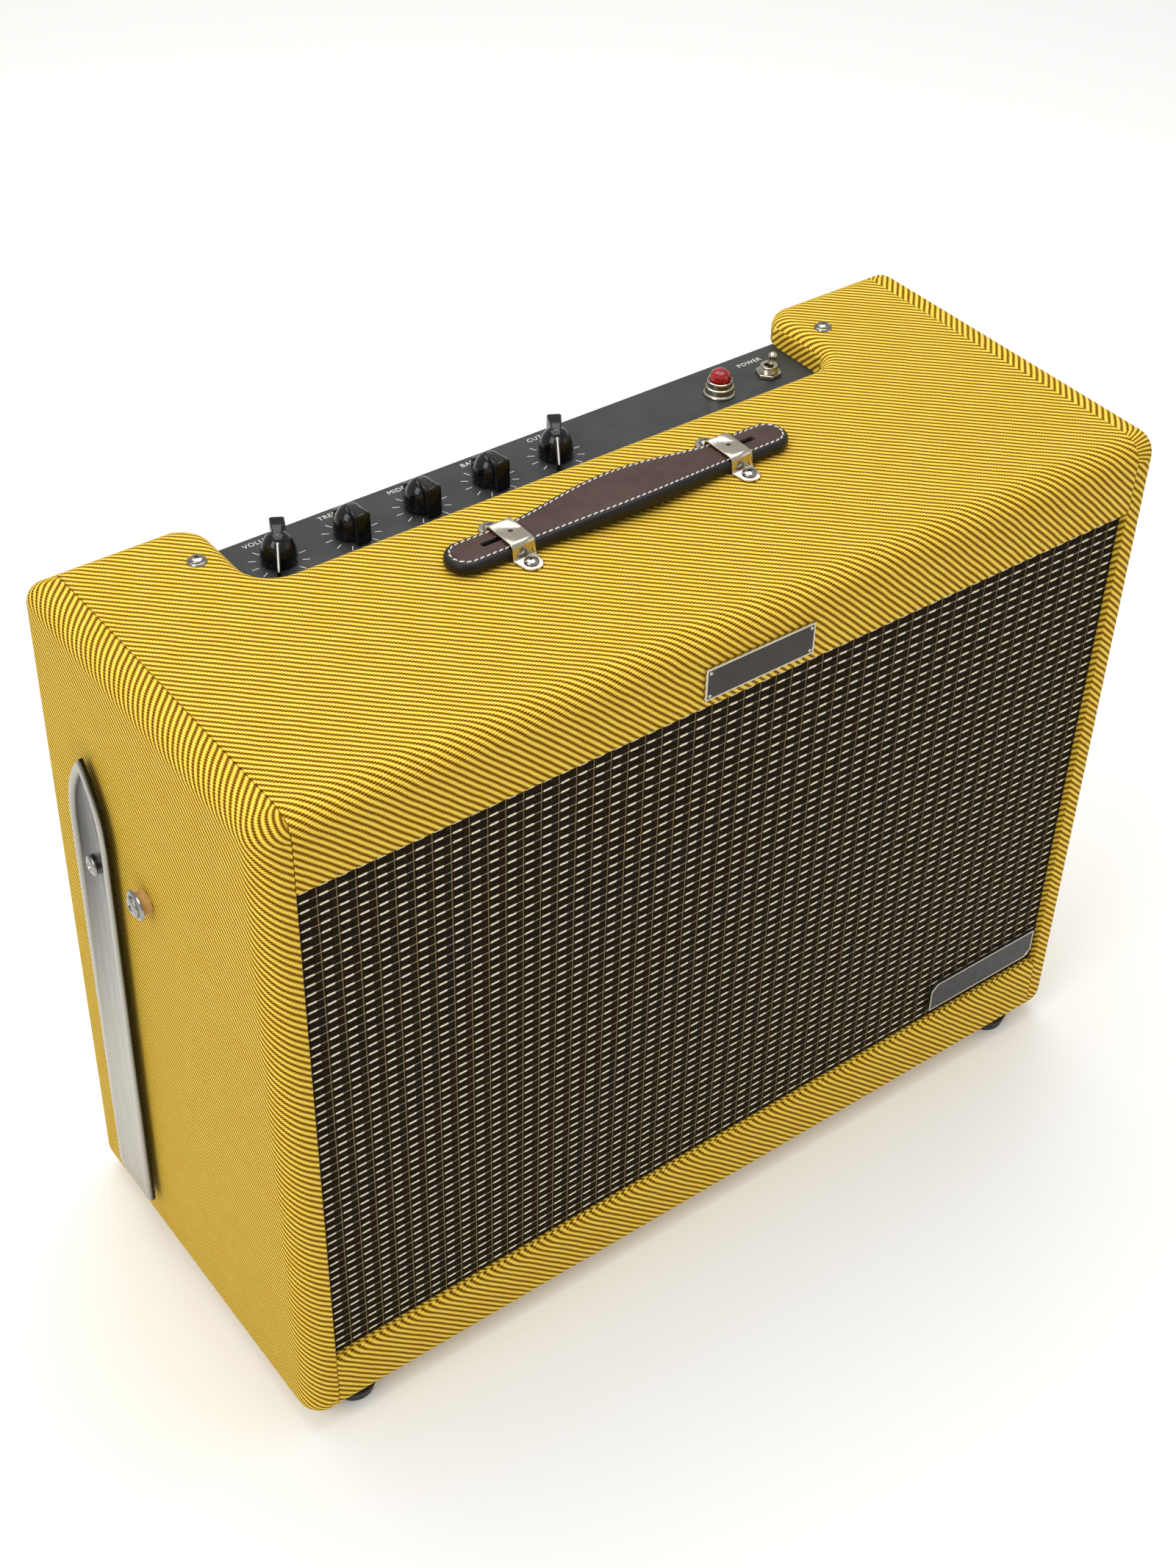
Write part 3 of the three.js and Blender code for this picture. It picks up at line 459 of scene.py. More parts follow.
def arc(centre, radius, start, end, steps):
    """Points on an arc, angles in degrees."""
    angles = [math.radians(start + (end - start) * i / steps) for i in range(steps + 1)]
    return [(centre[0] + radius * math.cos(a), centre[1] + radius * math.sin(a)) for a in angles]


def plane_ring(bm, points, plane, w):
    """The corners of an outline in a plane, at one place on the third axis."""
    return [bm.verts.new({"XY": (u, v, w), "YZ": (w, u, v), "XZ": (u, w, v)}[plane]) for u, v in points]


def prism(points, plane, start, end, centre=(0, 0, 0)):
    """A bmesh solid from an outline in a plane, between two places on the third axis, moved to a centre."""
    bm = bmesh.new()
    near = plane_ring(bm, points, plane, start)
    far = plane_ring(bm, points, plane, end)
    bm.faces.new(near)
    bm.faces.new(far)
    bridge(bm, (near, far))
    bmesh.ops.recalc_face_normals(bm, faces=bm.faces)
    bm.transform(Matrix.Translation(centre))
    return bm


def round_edges(obj, width, segments, angle, weighted=True):
    """Rounds the edges sharper than an angle: width in millimetres, angle in degrees."""
    bevel = obj.modifiers.new("round", "BEVEL")
    bevel.width = width * MM
    bevel.segments = segments
    bevel.limit_method = "ANGLE"
    bevel.angle_limit = math.radians(angle)
    if weighted:
        obj.modifiers.new("normals", "WEIGHTED_NORMAL").keep_sharp = False
    apply_modifiers(obj)
    obj.data.shade_smooth()


def bevelled(name, bm, width, segments, angle, material="nickel", weighted=True):
    """A fixed piece from a bmesh whose sharp edges are rounded."""
    obj = new_object(name, from_bmesh(name, bm), material, ROOT)
    round_edges(obj, width, segments, angle, weighted)
    return obj


def cad_bmesh(node):
    """A CAD node's mesh with its flat faces joined up, ready for rounding."""
    bm = bmesh.new()
    bm.from_mesh(NODES[node].data)
    bmesh.ops.remove_doubles(bm, verts=bm.verts, dist=2e-6)
    bmesh.ops.dissolve_limit(bm, angle_limit=math.radians(1.0), verts=bm.verts, edges=bm.edges)
    return bm


def carve(obj, bm, operation="DIFFERENCE"):
    """Cuts a bmesh solid out of an object's mesh, or keeps only what lies in it."""
    tool = bpy.data.objects.new("tool", from_bmesh("tool", bm))
    bpy.context.scene.collection.objects.link(tool)
    cutter = obj.modifiers.new("cut", "BOOLEAN")
    cutter.operation = operation
    cutter.solver = "EXACT"
    cutter.object = tool
    apply_modifiers(obj)
    mesh = tool.data
    bpy.data.objects.remove(tool)
    bpy.data.meshes.remove(mesh)


# ---------------------------------------------------------------- cabinet

ARC_STEPS = 10
RECESS_HALF = 201 * MM
RECESS_FRONT = FRONT + 173.5 * MM
RECESS_RADIUS = 20 * MM
LIP = 9 * MM
CORE_FRONT = FRONT + FRONT_RADIUS
BOARD = 18 * MM


def rear_at(z):
    return REAR_BOTTOM + (REAR_TOP - REAR_BOTTOM) * (z - BASE) / (TOP - BASE)


def cabinet_blank():
    """The cabinet's outside as one rounded box: the hull of a ball in each corner."""
    bm = bmesh.new()
    for x in (-1, 1):
        for y in (-1, 1):
            for z in (-1, 1):
                radius = FRONT_RADIUS if y < 0 else REAR_RADIUS
                height = TOP if z > 0 else BASE
                depth = CORE_FRONT if y < 0 else rear_at(height) - radius
                centre = Vector((x * (HALF - radius), depth, height - z * radius))
                for i in range(ARC_STEPS + 1):
                    polar = math.pi / 2 * i / ARC_STEPS
                    for j in range(ARC_STEPS + 1):
                        turn = math.pi / 2 * j / ARC_STEPS
                        across = math.sin(polar)
                        point = Vector((
                            x * across * math.cos(turn), y * across * math.sin(turn), z * math.cos(polar)))
                        bm.verts.new(centre + radius * point)
    bmesh.ops.remove_doubles(bm, verts=bm.verts, dist=1e-7)
    bmesh.ops.convex_hull(bm, input=bm.verts, use_existing_faces=False)
    loose = [v for v in bm.verts if not v.link_faces]
    bmesh.ops.delete(bm, geom=loose, context="VERTS")
    bmesh.ops.dissolve_limit(bm, angle_limit=math.radians(0.3), verts=bm.verts, edges=bm.edges)
    return bm


def box_bmesh(x0, x1, y0, y1, z0, z1):
    return prism([(x0, y0), (x1, y0), (x1, y1), (x0, y1)], "XY", z0, z1)


def unroll(point, side):
    """Where a point of the covering lies on its flat cloth, rolled off the cabinet's rounded edges.

    side is -1 or 1 for a side board, whose cloth runs off the side, or 0 for a middle one, over the top."""
    radius = FRONT_RADIUS if point.y < 0 else REAR_RADIUS
    rear = rear_at(point.z) - REAR_RADIUS
    core = Vector((
        max(-HALF + radius, min(HALF - radius, point.x)),
        max(CORE_FRONT, min(rear, point.y)),
        max(BASE + radius, min(TOP - radius, point.z)),
    ))
    offset = point - core
    if side:
        lean = abs(offset.x)
        aside = math.hypot(offset.y, offset.z)
        angle = math.atan2(aside, max(lean, 1e-9)) if side * point.x > HALF - radius else math.pi / 2
        inward = max(0.0, (HALF - radius) - side * point.x)
        reach = radius * angle + inward
        share = reach / aside if aside > 1e-6 else 0.0
        return side * (core.y + offset.y * share), core.z + offset.z * share
    if point.z > TOP - FRONT_RADIUS:
        fall = math.atan2(-offset.y, max(offset.z, 1e-9)) if point.y < CORE_FRONT else 0.0
        back = math.atan2(offset.y, max(offset.z, 1e-9)) if point.y > rear else 0.0
        return point.x, core.y - radius * fall + radius * back
    if point.y < CORE_FRONT + 1e-4:
        return point.x, CORE_FRONT - FRONT_RADIUS * math.pi / 2 - (TOP - FRONT_RADIUS - point.z)
    return point.x, point.y + point.z


def add_cloth_map(obj, side):
    """Writes the flat cloth's coordinates as a UV map, face by face."""
    mesh = obj.data
    layer = mesh.uv_layers.get("cloth") or mesh.uv_layers.new(name="cloth")
    for face in mesh.polygons:
        n = face.normal
        centre = face.center
        inner = abs(n.x) > 0.9 and abs(centre.x) < HALF - 0.004
        for index in face.loop_indices:
            p = mesh.vertices[mesh.loops[index].vertex_index].co
            if inner:
                uv = (p.y, p.z)
            elif n.z < -0.9:
                uv = (p.x, -p.y)
            elif n.y > 0.6 and not side:
                uv = (-p.x, p.z)
            elif n.z > 0.9 and centre.z < TOP - 0.02:
                uv = (p.x, p.y)
            else:
                uv = unroll(p, side)
            layer.data[index].uv = uv
    mesh.uv_layers.active = layer


def board(name, node, slab, side=0, extra=(), lip=1.0):
    """One cloth-covered board: the blank kept inside a slab, cut further, its new edges rounded."""
    obj = new_object(name, from_bmesh(name, cabinet_blank()), "tweed", ROOT)
    carve(obj, slab, "INTERSECT")
    for bm in extra:
        carve(obj, bm)
    round_edges(obj, lip, 3, 35)
    add_cloth_map(obj, side)
    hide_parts(node)


def recess_points(flare):
    """The cut-out in the rear of the top board, widened by a flare, as an outline that runs past the rear."""
    half = RECESS_HALF + flare
    front = RECESS_FRONT - flare
    inner = RECESS_RADIUS + flare
    outer = RECESS_RADIUS - flare
    right = arc((half - inner, front + inner), inner, 270, 360, 12)
    right += arc((half + outer, REAR_TOP - RECESS_RADIUS - 0.5 * flare), outer, 180, 90, 12)
    right.append((half + outer, REAR_TOP + 0.05))
    return right + [(-x, y) for x, y in reversed(right)]


def recess_cutter():
    """The recess as a solid whose upper edges flare out, so the cloth rolls over into it."""
    bm = bmesh.new()
    levels = [(0.0, PANEL - 0.02)] + arc((LIP, TOP - LIP), LIP, 180, 90, 8) + [(LIP, TOP + 0.02)]
    rings = [plane_ring(bm, recess_points(flare), "XY", z) for flare, z in levels]
    bridge(bm, rings, first=True, last=True)
    bmesh.ops.recalc_face_normals(bm, faces=bm.faces)
    return bm


def rail_profile(bottom, top, rounded):
    """A front rail's section in Y and Z; the edge next to the grille is rounded."""
    back = FRONT + BOARD
    r = 6 * MM
    if rounded == "bottom":
        edge = arc((FRONT + r, bottom + r), r, 180, 270, 8)
        return edge + [(back, bottom), (back, top), (FRONT - 0.01, top)]
    edge = arc((FRONT + r, top - r), r, 90, 180, 8)
    return [(back, bottom), (back, top)] + edge + [(FRONT - 0.01, bottom)]


def make_cabinet():
    reach = 0.5
    rail_top = high("lower_front_rail").z
    for name, side in (("left", -1), ("right", 1)):
        inner = SEAM + 0.1 * MM
        x0, x1 = sorted((side * inner, side * reach))
        half = box_bmesh(x0, x1, -reach, reach, 0, 1)
        board(f"cover_side_{name}", f"side_board_{name}", half, side, lip=1.2)
    upper_bottom = low("upper_front_rail").z
    top_profile = rail_profile(upper_bottom, TOP + 0.02, "bottom")
    top_profile = top_profile[:-1] + [(FRONT - 0.01, TOP + 0.02), (FRONT - 0.01, upper_bottom + 6 * MM)]
    board("cover_top_and_fascia", "top_board", box_bmesh(-SEAM, SEAM, -reach, reach, TOP - BOARD, 1),
          extra=(recess_cutter(),), lip=0.8)
    board("cover_upper_rail", "upper_front_rail", prism(top_profile, "YZ", -SEAM, SEAM),
          extra=(box_bmesh(-reach, reach, -reach, reach, TOP - BOARD, 1),), lip=0.4)
    lower_profile = rail_profile(0.0, rail_top, "top")
    board("cover_lower_rail", "lower_front_rail", prism(lower_profile, "YZ", -SEAM, SEAM), lip=0.6)
    board("cover_bottom", "bottom_board",
          box_bmesh(-SEAM, SEAM, FRONT + BOARD + 0.3 * MM, reach, 0, high("bottom_board").z), lip=1.0)


make_cabinet()

# ---------------------------------------------------------------- screws


def slot_cutter(reach, depth, width):
    """One arm of a cross recess: a wedge standing on Z with its wide end up."""
    bm = bmesh.new()
    rings = []
    for z, length, thickness in ((-depth, reach * 0.35, width * 0.6), (depth, reach, width)):
        corners = ((-length, -thickness), (length, -thickness), (length, thickness), (-length, thickness))
        rings.append(plane_ring(bm, corners, "XY", z))
    bridge(bm, rings, first=True, last=True)
    bmesh.ops.recalc_face_normals(bm, faces=bm.faces)
    return bm


def screw(node, seat, axis, head, height, shank, cup=0.0, cup_height=0.0, turn=20, covers=True):
    """A cross-recessed screw with a domed head, in a cup washer when cup is given. Sizes in millimetres."""
    dome = [(head * math.cos(a), cup_height + height * (0.2 + 0.8 * math.sin(a)))
            for a in (math.pi / 2 * i / 8 for i in range(9))]
    profile = [(0, -12), (shank, -12), (shank, 0)]
    if cup:
        profile += [
            (cup - 0.4, 0), (cup, 0.25), (cup * 0.97, cup_height * 0.55), (cup * 0.86, cup_height * 0.95),
            (cup * 0.78, cup_height), (head + 0.35, cup_height * 0.62), (head + 0.1, cup_height * 0.62)]
    else:
        profile += [(head - 0.25, 0)]
    profile += [(head, height * 0.08 + cup_height * 0.9)] + dome[:-1] + [(0, cup_height + height)]
    obj = new_object(f"{node}_piece", lathe(node, profile, (0, 0, 0), "Z", 40), "screw_steel", ROOT)
    for quarter in (0, 90):
        slot = slot_cutter(head * 0.60 * MM, height * 0.85 * MM, head * 0.13 * MM)
        slot.transform(Matrix.Translation((0, 0, (cup_height + height) * MM)))
        slot.transform(Matrix.Rotation(math.radians(turn + quarter), 4, "Z"))
        carve(obj, slot)
    obj.data.transform(Matrix.Translation(seat) @ AXIS_TURN[axis])
    smooth(obj.data, 38)
    if covers:
        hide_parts(node)
    return obj


SPACER = ((2.9, 0.1), (6.6, 0.1), (7.0, 0.5), (7.05, 3.1), (7.0, 5.7), (6.7, 6.1), (2.9, 6.1), (2.9, 0.1))


def make_screws():
    turns = {"left_front": 35, "left_rear": 70, "right_front": 10, "right_rear": 55}
    for place, turn in turns.items():
        node = f"bracket_screw_{place}"
        seat = Vector((middle(node).x, middle(node).y, TOP + 1.9 * MM))
        screw(node, seat, "Z", 4.3, 2.4, 1.9, turn=turn)
    for side, turn in (("left", 25), ("right", 62)):
        node = f"chassis_screw_{side}"
        seat = Vector((middle(node).x, middle(node).y, TOP))
        screw(node, seat, "Z", 4.2, 1.8, 2.2, 5.6, 1.4, turn)
    for side, sign, axis in (("left", -1, "-X"), ("right", 1, "X")):
        node = f"leg_pivot_screw_{side}"
        seat = Vector((sign * (HALF + 7.0 * MM), middle(node).y, middle(node).z))
        screw(node, seat, axis, 6.2, 2.5, 3.0, turn=40 * sign)
        node = f"leg_stop_screw_{side}"
        spacer = f"leg_stop_spacer_{side}"
        seat = Vector((sign * (HALF + 6.3 * MM), middle(node).y, middle(node).z))
        screw(node, seat, axis, 6.2, 2.2, 2.6, 9.2, 2.0, turn=15 * sign)
        seat = Vector((sign * HALF, middle(node).y, middle(node).z))
        obj = new_object(f"{spacer}_piece", lathe(spacer, SPACER, seat, axis), "fibre", ROOT)
        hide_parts(spacer)


make_screws()

# ---------------------------------------------------------------- rounded versions of sheet and moulded parts


def rounded_from_cad(node, width, segments, angle):
    """A CAD node with its sharp edges rounded, in its own slot's material."""
    slot = next(r["material_slot"] for r in frame["record"]["subparts"] if r["node"] == node)
    obj = bevelled(f"{node}_piece", cad_bmesh(node), width, segments, angle, finish_of(slot))
    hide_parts(node)
    return obj


def strip(path, half_widths, thickness):
    """A bent metal strip: a path in Y and Z with a half width in X at each point, thickened on its left."""
    bm = bmesh.new()
    rings = []
    for i, (y, z) in enumerate(path):
        before = Vector(path[max(i - 1, 0)])
        after = Vector(path[min(i + 1, len(path) - 1)])
        ahead = (after - before).normalized()
        out = Vector((-ahead.y, ahead.x)) * thickness
        w = half_widths[i]
        rings.append([bm.verts.new(p) for p in (
            (-w, y, z), (w, y, z), (w, y + out.x, z + out.y), (-w, y + out.x, z + out.y))])
    bridge(bm, rings, first=True, last=True)
    bmesh.ops.recalc_face_normals(bm, faces=bm.faces)
    return bm


def bracket_path():
    """Half the bracket's underside, from the middle of its plate down to the end of its foot, in Y and Z."""
    plate = 9.6 * MM
    foot = 0.35 * MM
    path = [(0.0, plate), (9.6 * MM, plate)]
    path += [(9.8 * MM + y, plate + z) for y, z in arc((0, -1.6 * MM), 1.6 * MM, 90, 5, 5)]
    path += [(14.6 * MM + y, foot + z) for y, z in arc((0, 2.4 * MM), 2.4 * MM, 185, 270, 6)]
    path += [(y * MM, foot) for y in (18, 22, 24, 25, 25.6, 25.95)]
    return path


def bracket_half_width(y):
    plate = 7.5 * MM
    tab = 6.6 * MM
    centre = 19.4 * MM
    y = abs(y)
    if y < 13 * MM:
        return plate
    if y < centre:
        return plate + (tab - plate) * (y - 13 * MM) / (centre - 13 * MM)
    return math.sqrt(max(tab ** 2 - (y - centre) ** 2, (0.6 * MM) ** 2))


def make_brackets():
    for side in ("left", "right"):
        node = f"handle_bracket_{side}"
        half = bracket_path()
        path = [(-y, z) for y, z in reversed(half[1:])] + half
        widths = [bracket_half_width(y) for y, _ in path]
        seat = Vector((middle(node).x, HANDLE_ROW, TOP))
        bm = strip(path, widths, 1.3 * MM)
        bm.transform(Matrix.Translation(seat))
        obj = bevelled(f"{node}_piece", bm, 0.35, 2, 50)
        carve(obj, prism(polygon(1.3, 20), "XY", -0.03, 0.07, seat))
        smooth(obj.data, 40)
        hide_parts(node)
        rivet = ((0, 9.3), (1.25, 9.3), (1.25, 10.4), (1.0, 10.55), (0.75, 10.3), (0, 10.2))
        new_object(f"{node}_rivet", lathe("rivet", rivet, seat, "Z", 20), "dark_metal", ROOT)


LEG_HALF_WIDTH = 20.5
LEG_TIP = 79
LEG_SHOULDER = 24
LEG_BOTTOM = 285
LEG_CORNER = 5
LEG_RIM = 4.4                   # width of the flat rim round the dished face
# The pressed leg from its back edge round to its dished face: how far in, and how far below the outer face.
LEG_LAYERS = ((0.5, 3.9), (0.0, 3.5), (0.0, 1.5), (0.2, 0.75), (0.7, 0.2), (1.4, 0.0),
              (LEG_RIM, 0.0), (LEG_RIM + 0.6, 0.15), (LEG_RIM + 2.0, 0.85), (LEG_RIM + 2.7, 1.0))
LEG_BOSS = ((3.4, 0.7), (5.0, 0.75), (6.3, 1.2), (8.6, 2.6), (8.6, 3.2), (7, 4.6), (3.4, 4.6), (3.4, 0.7))


def leg_outline(inset):
    """A leg's outline about its pivot, in millimetres of Y and Z: straight sides, a pointed arch on top."""
    w = LEG_HALF_WIDTH
    rise = LEG_TIP - LEG_SHOULDER
    bow = (rise * rise + w * w) / (2 * w)
    r = bow - inset
    sweep = math.degrees(math.acos((bow - w) / r))
    bottom = -LEG_BOTTOM + inset
    c = LEG_CORNER
    points = arc((-w + inset + c, bottom + c), c, 180, 270, 4)
    points += arc((w - inset - c, bottom + c), c, 270, 360, 4)
    points += [(w - inset, bottom + c + (LEG_SHOULDER - bottom - c) * i / 12) for i in range(1, 12)]
    points += arc((w - bow, LEG_SHOULDER), r, 0, sweep, 16)
    points += arc((bow - w, LEG_SHOULDER), r, 180 - sweep, 180, 16)[1:]
    points += [(-w + inset, LEG_SHOULDER + (bottom + c - LEG_SHOULDER) * i / 12) for i in range(1, 12)]
    return points


def dish_depth(z):
    """The dished face is deepest round the pivot and nearly flat at the foot."""
    return 0.35 + 2.2 * max(0.0, min(1.0, (z + 190) / 240)) ** 1.5


def leg_mesh():
    bm = bmesh.new()
    rings = []
    for inset, depth in LEG_LAYERS:
        ring = []
        for y, z in leg_outline(inset):
            sunk = depth * dish_depth(z) if inset > LEG_RIM else depth
            ring.append(bm.verts.new((-(LEG_OUTER - sunk) * MM, y * MM, z * MM)))
        rings.append(ring)
    bridge(bm, rings, first=True)
    bmesh.ops.triangle_fill(bm, edges=[e for e in bm.edges if len(e.link_faces) == 1], use_beauty=True)
    add_mesh(bm, lathe("boss", LEG_BOSS, (0, 0, 0), "-X", 32))
    return bm


def make_legs():
    for side, sign in (("left", -1), ("right", 1)):
        node = f"tilt_leg_{side}"
        pivot = middle(f"leg_pivot_screw_{side}")
        bm = leg_mesh()
        bm.transform(Matrix.Rotation(LEG_LEAN, 4, "X"))
        if sign > 0:
            bm.transform(Matrix.Scale(-1, 4, (1, 0, 0)))
        bm.transform(Matrix.Translation((sign * HALF, pivot.y, pivot.z)))
        leg = new_object(f"{node}_piece", from_bmesh(node, bm, 50), "stainless", f"leg_{side}")
        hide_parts(node)


FOOT = ((0, 0), (11.2, 0), (12.2, 0.35), (12.7, 1.2), (14.6, 8.6), (14.9, 9.4), (14.6, 9.85), (0, 9.85))


def make_feet():
    for end in ("front", "rear"):
        for side in ("left", "right"):
            node = f"foot_{end}_{side}"
            place = Vector((middle(node).x, middle(node).y, 0))
            obj = new_object(f"{node}_piece", lathe(node, FOOT, place), "rubber", ROOT)
            carve(obj, prism(polygon(5, 24), "XY", -0.01, 4 * MM, place))
            smooth(obj.data, 35)
            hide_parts(node)


make_brackets()
make_legs()
make_feet()

# ---------------------------------------------------------------- badges


def outline_frame(points, plane, start, end, width):
    """A raised border just inside an outline with its corners in order, as one closed ring."""
    mid_u = sum(u for u, _ in points) / len(points)
    mid_v = sum(v for _, v in points) / len(points)
    half_u = max(abs(u - mid_u) for u, _ in points)
    half_v = max(abs(v - mid_v) for _, v in points)
    inner = []
    for u, v in points:
        inner.append((mid_u + (u - mid_u) * (half_u - width) / half_u,
                      mid_v + (v - mid_v) * (half_v - width) / half_v))
    bm = bmesh.new()
    rings = [plane_ring(bm, ring, plane, w) for ring, w in
             ((points, start), (points, end), (inner, end), (inner, start))]
    bridge(bm, rings + rings[:1])
    bmesh.ops.recalc_face_normals(bm, faces=bm.faces)
    return bm


def make_badges():
    a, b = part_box("front_badge")
    front = a.y + 0.6 * MM
    plate = bevelled("front_badge_piece", box_bmesh(a.x, b.x, front, b.y, a.z, b.z), 0.35, 3, 30)
    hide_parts("front_badge")
    edge = 1.3 * MM
    sheet = box_bmesh(a.x + edge, b.x - edge, front - 0.12 * MM, front + 0.3 * MM, a.z + edge, b.z - edge)
    bevelled("front_badge_face", sheet, 0.1, 2, 30, "badge_face")
    pin = [(0, 0.8), (1.15, 0.8), (1.15, 0.0), (1.0, -0.3), (0.6, -0.52), (0, -0.6)]
    for i, x in enumerate((a.x + 3 * MM, b.x - 3 * MM)):
        for j, z in enumerate((a.z + 3 * MM, b.z - 3 * MM)):
            mesh = lathe("pin", pin, Vector((x, front, z)), "Y", 20)
            new_object(f"front_badge_pin_{i}{j}", mesh, "nickel", ROOT)
    a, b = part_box("grille_badge")
    clip = 5 * MM
    corners = [(a.x, a.z), (b.x - clip, a.z), (b.x, a.z + clip),
               (b.x, b.z), (a.x + clip, b.z), (a.x, b.z - clip)]
    rounded_from_cad("grille_badge", 0.4, 3, 30)
    ring = outline_frame(corners, "XZ", a.y + 0.5 * MM, a.y - 0.25 * MM, 1.1 * MM)
    bevelled("grille_badge_rim", ring, 0.15, 2, 30, "nickel")


make_badges()

# ---------------------------------------------------------------- panel, its print, knobs, lamp and switch


def put_text(bm, words, size, centre):
    """Adds a word in plain capitals, as thin raised paint, to a mesh."""
    curve = bpy.data.curves.new("words", "FONT")
    curve.body = words
    curve.size = size
    curve.align_x = "CENTER"
    curve.align_y = "CENTER"
    curve.extrude = 0.04 * MM
    curve.resolution_u = 3
    curve.space_character = 1.08
    carrier = bpy.data.objects.new("words", curve)
    bpy.context.scene.collection.objects.link(carrier)
    carrier.location = centre
    bpy.context.view_layer.update()
    mesh = bpy.data.meshes.new_from_object(carrier.evaluated_get(bpy.context.evaluated_depsgraph_get()))
    mesh.transform(carrier.matrix_world)
    add_mesh(bm, mesh)
    bpy.data.objects.remove(carrier)
    bpy.data.curves.remove(curve)


def add_bar(bm, centre, angle, inner, outer, half_width, z0, z1):
    """A short radial stroke of paint round a centre."""
    along = Vector((math.cos(angle), math.sin(angle), 0))
    aside = Vector((-along.y, along.x, 0)) * half_width
    ends = [centre + along * inner - aside, centre + along * outer - aside, centre + along * outer + aside,
            centre + along * inner + aside]
    foot = [bm.verts.new((p.x, p.y, z0)) for p in ends]
    top = [bm.verts.new((p.x, p.y, z1)) for p in ends]
    bm.faces.new(top)
    bm.faces.new(foot[::-1])
    bridge(bm, (foot, top))


LABEL_ROW = PANEL_REAR - 5.6 * MM
LABEL_SIZE = 5.0 * MM
TICKS = 11
TICK_START = 240                # degrees from +X, anticlockwise
TICK_STEP = 30


def make_panel():
    rounded_from_cad("chassis", 0.8, 3, 40)
    bm = bmesh.new()
    paint_top = PANEL + 0.05 * MM
    for name in CONTROLS:
        centre = Vector((middle(f"{name}_pot").x, CONTROL_ROW, 0))
        for i in range(TICKS):
            angle = math.radians(TICK_START - TICK_STEP * i)
            add_bar(bm, centre, angle, 12.6 * MM, 16.8 * MM, 0.24 * MM, PANEL - 0.02 * MM, paint_top)
        for number, angle in (("1", TICK_START), ("12", TICK_START - TICK_STEP * (TICKS - 1))):
            along = Vector((math.cos(math.radians(angle)), math.sin(math.radians(angle)), 0))
            spot = centre + 19.2 * MM * along
            put_text(bm, number, 3.2 * MM, (spot.x, spot.y, PANEL + 0.01 * MM))
        put_text(bm, name.upper(), LABEL_SIZE, (centre.x, LABEL_ROW, PANEL + 0.01 * MM))
    switch = middle("power_switch_nut")
    put_text(bm, "POWER", LABEL_SIZE, (switch.x - 1 * MM, LABEL_ROW - 4 * MM, PANEL + 0.01 * MM))
    new_object("panel_print", from_bmesh("panel_print", bm), "print", ROOT)


# A knob's bar seen along its length, nose at +X, in millimetres: place, half width, height of its top.
KNOB_BAR = (
    (-13.9, 4.1, 18.6), (-13.5, 4.35, 19.6), (-12.8, 4.4, 20.0), (-9.5, 4.1, 19.9), (-6, 3.6, 19.5),
    (-2, 3.1, 19.0), (1.5, 2.6, 18.2), (4, 2.3, 17.2), (8, 1.9, 14.6), (12, 1.5, 11.4), (16, 1.2, 8.0),
    (18.0, 1.0, 6.2), (18.4, 0.7, 5.2),
)
KNOB_EGG = (
    (0, 2.0), (9.2, 2.0), (9.4, 0.9), (10.1, 0.9), (10.35, 1.6), (10.3, 4.5), (9.9, 8.0), (8.9, 11.5),
    (7.4, 14.4), (5.4, 16.7), (3.2, 18.0), (0, 18.5),
)


def knob_mesh(name):
    """A pointer knob: an egg-shaped body with a bar across, a tall block behind and a sharp nose in front."""
    bm = bmesh.new()
    rings = []
    for x, w, top in KNOB_BAR:
        section = [
            (-w * 1.05, 0.95), (w * 1.05, 0.95), (w, top - 1.4), (w * 0.93, top - 0.5),
            (w * 0.72, top), (-w * 0.72, top), (-w * 0.93, top - 0.5), (-w, top - 1.4)]
        rings.append([bm.verts.new((x * MM, y * MM, z * MM)) for y, z in section])
    bridge(bm, rings, first=True, last=True)
    bmesh.ops.recalc_face_normals(bm, faces=bm.faces)
    add_mesh(bm, lathe(name, KNOB_EGG, (0, 0, 0), "Z", 48, 40))
    return from_bmesh(name, bm, 28)


def pointer_line():
    """The white line along the sloping top of a knob's nose."""
    bm = bmesh.new()
    crest = [(x, top) for x, _, top in KNOB_BAR if x > 0]
    for lift in (-0.1, 0.12):
        for y in (-0.46, 0.46):
            for x, top in crest:
                bm.verts.new((x * MM, y * MM, (top + lift) * MM))
    bm.verts.ensure_lookup_table()
    n = len(crest)
    rows = [bm.verts[k * n:(k + 1) * n] for k in range(4)]
    for a, b in ((0, 1), (1, 3), (3, 2), (2, 0)):
        for i in range(n - 1):
            bm.faces.new((rows[a][i], rows[a][i + 1], rows[b][i + 1], rows[b][i]))
    for i in (0, n - 1):
        bm.faces.new([rows[k][i] for k in (0, 1, 3, 2)])
    return from_bmesh("pointer_line", bm)


def nose_angle(node):
    """Where a knob's nose points, from +X: its farthest corner from the control's axis."""
    centre = middle(node.replace("_knob", "_pot"))
    corners = [v.co for v in NODES[node].data.vertices]
    far = max(corners, key=lambda p: (p.x - centre.x) ** 2 + (p.y - centre.y) ** 2)
    return math.atan2(far.y - centre.y, far.x - centre.x)


def make_knobs():
    for name in CONTROLS:
        node = f"{name}_knob"
        centre = middle(f"{name}_pot")
        nose = math.radians(TICK_STEP * round(math.degrees(nose_angle(node)) / TICK_STEP))
        place = Matrix.Translation((centre.x, centre.y, PANEL)) @ Matrix.Rotation(nose, 4, "Z")
        mesh = knob_mesh(node)
        mesh.transform(place)
        knob = new_object(f"{node}_piece", mesh, "black_plastic", node)
        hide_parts(node)
        line = pointer_line()
        line.transform(place)
        new_object(f"{node}_line", line, "print", node)


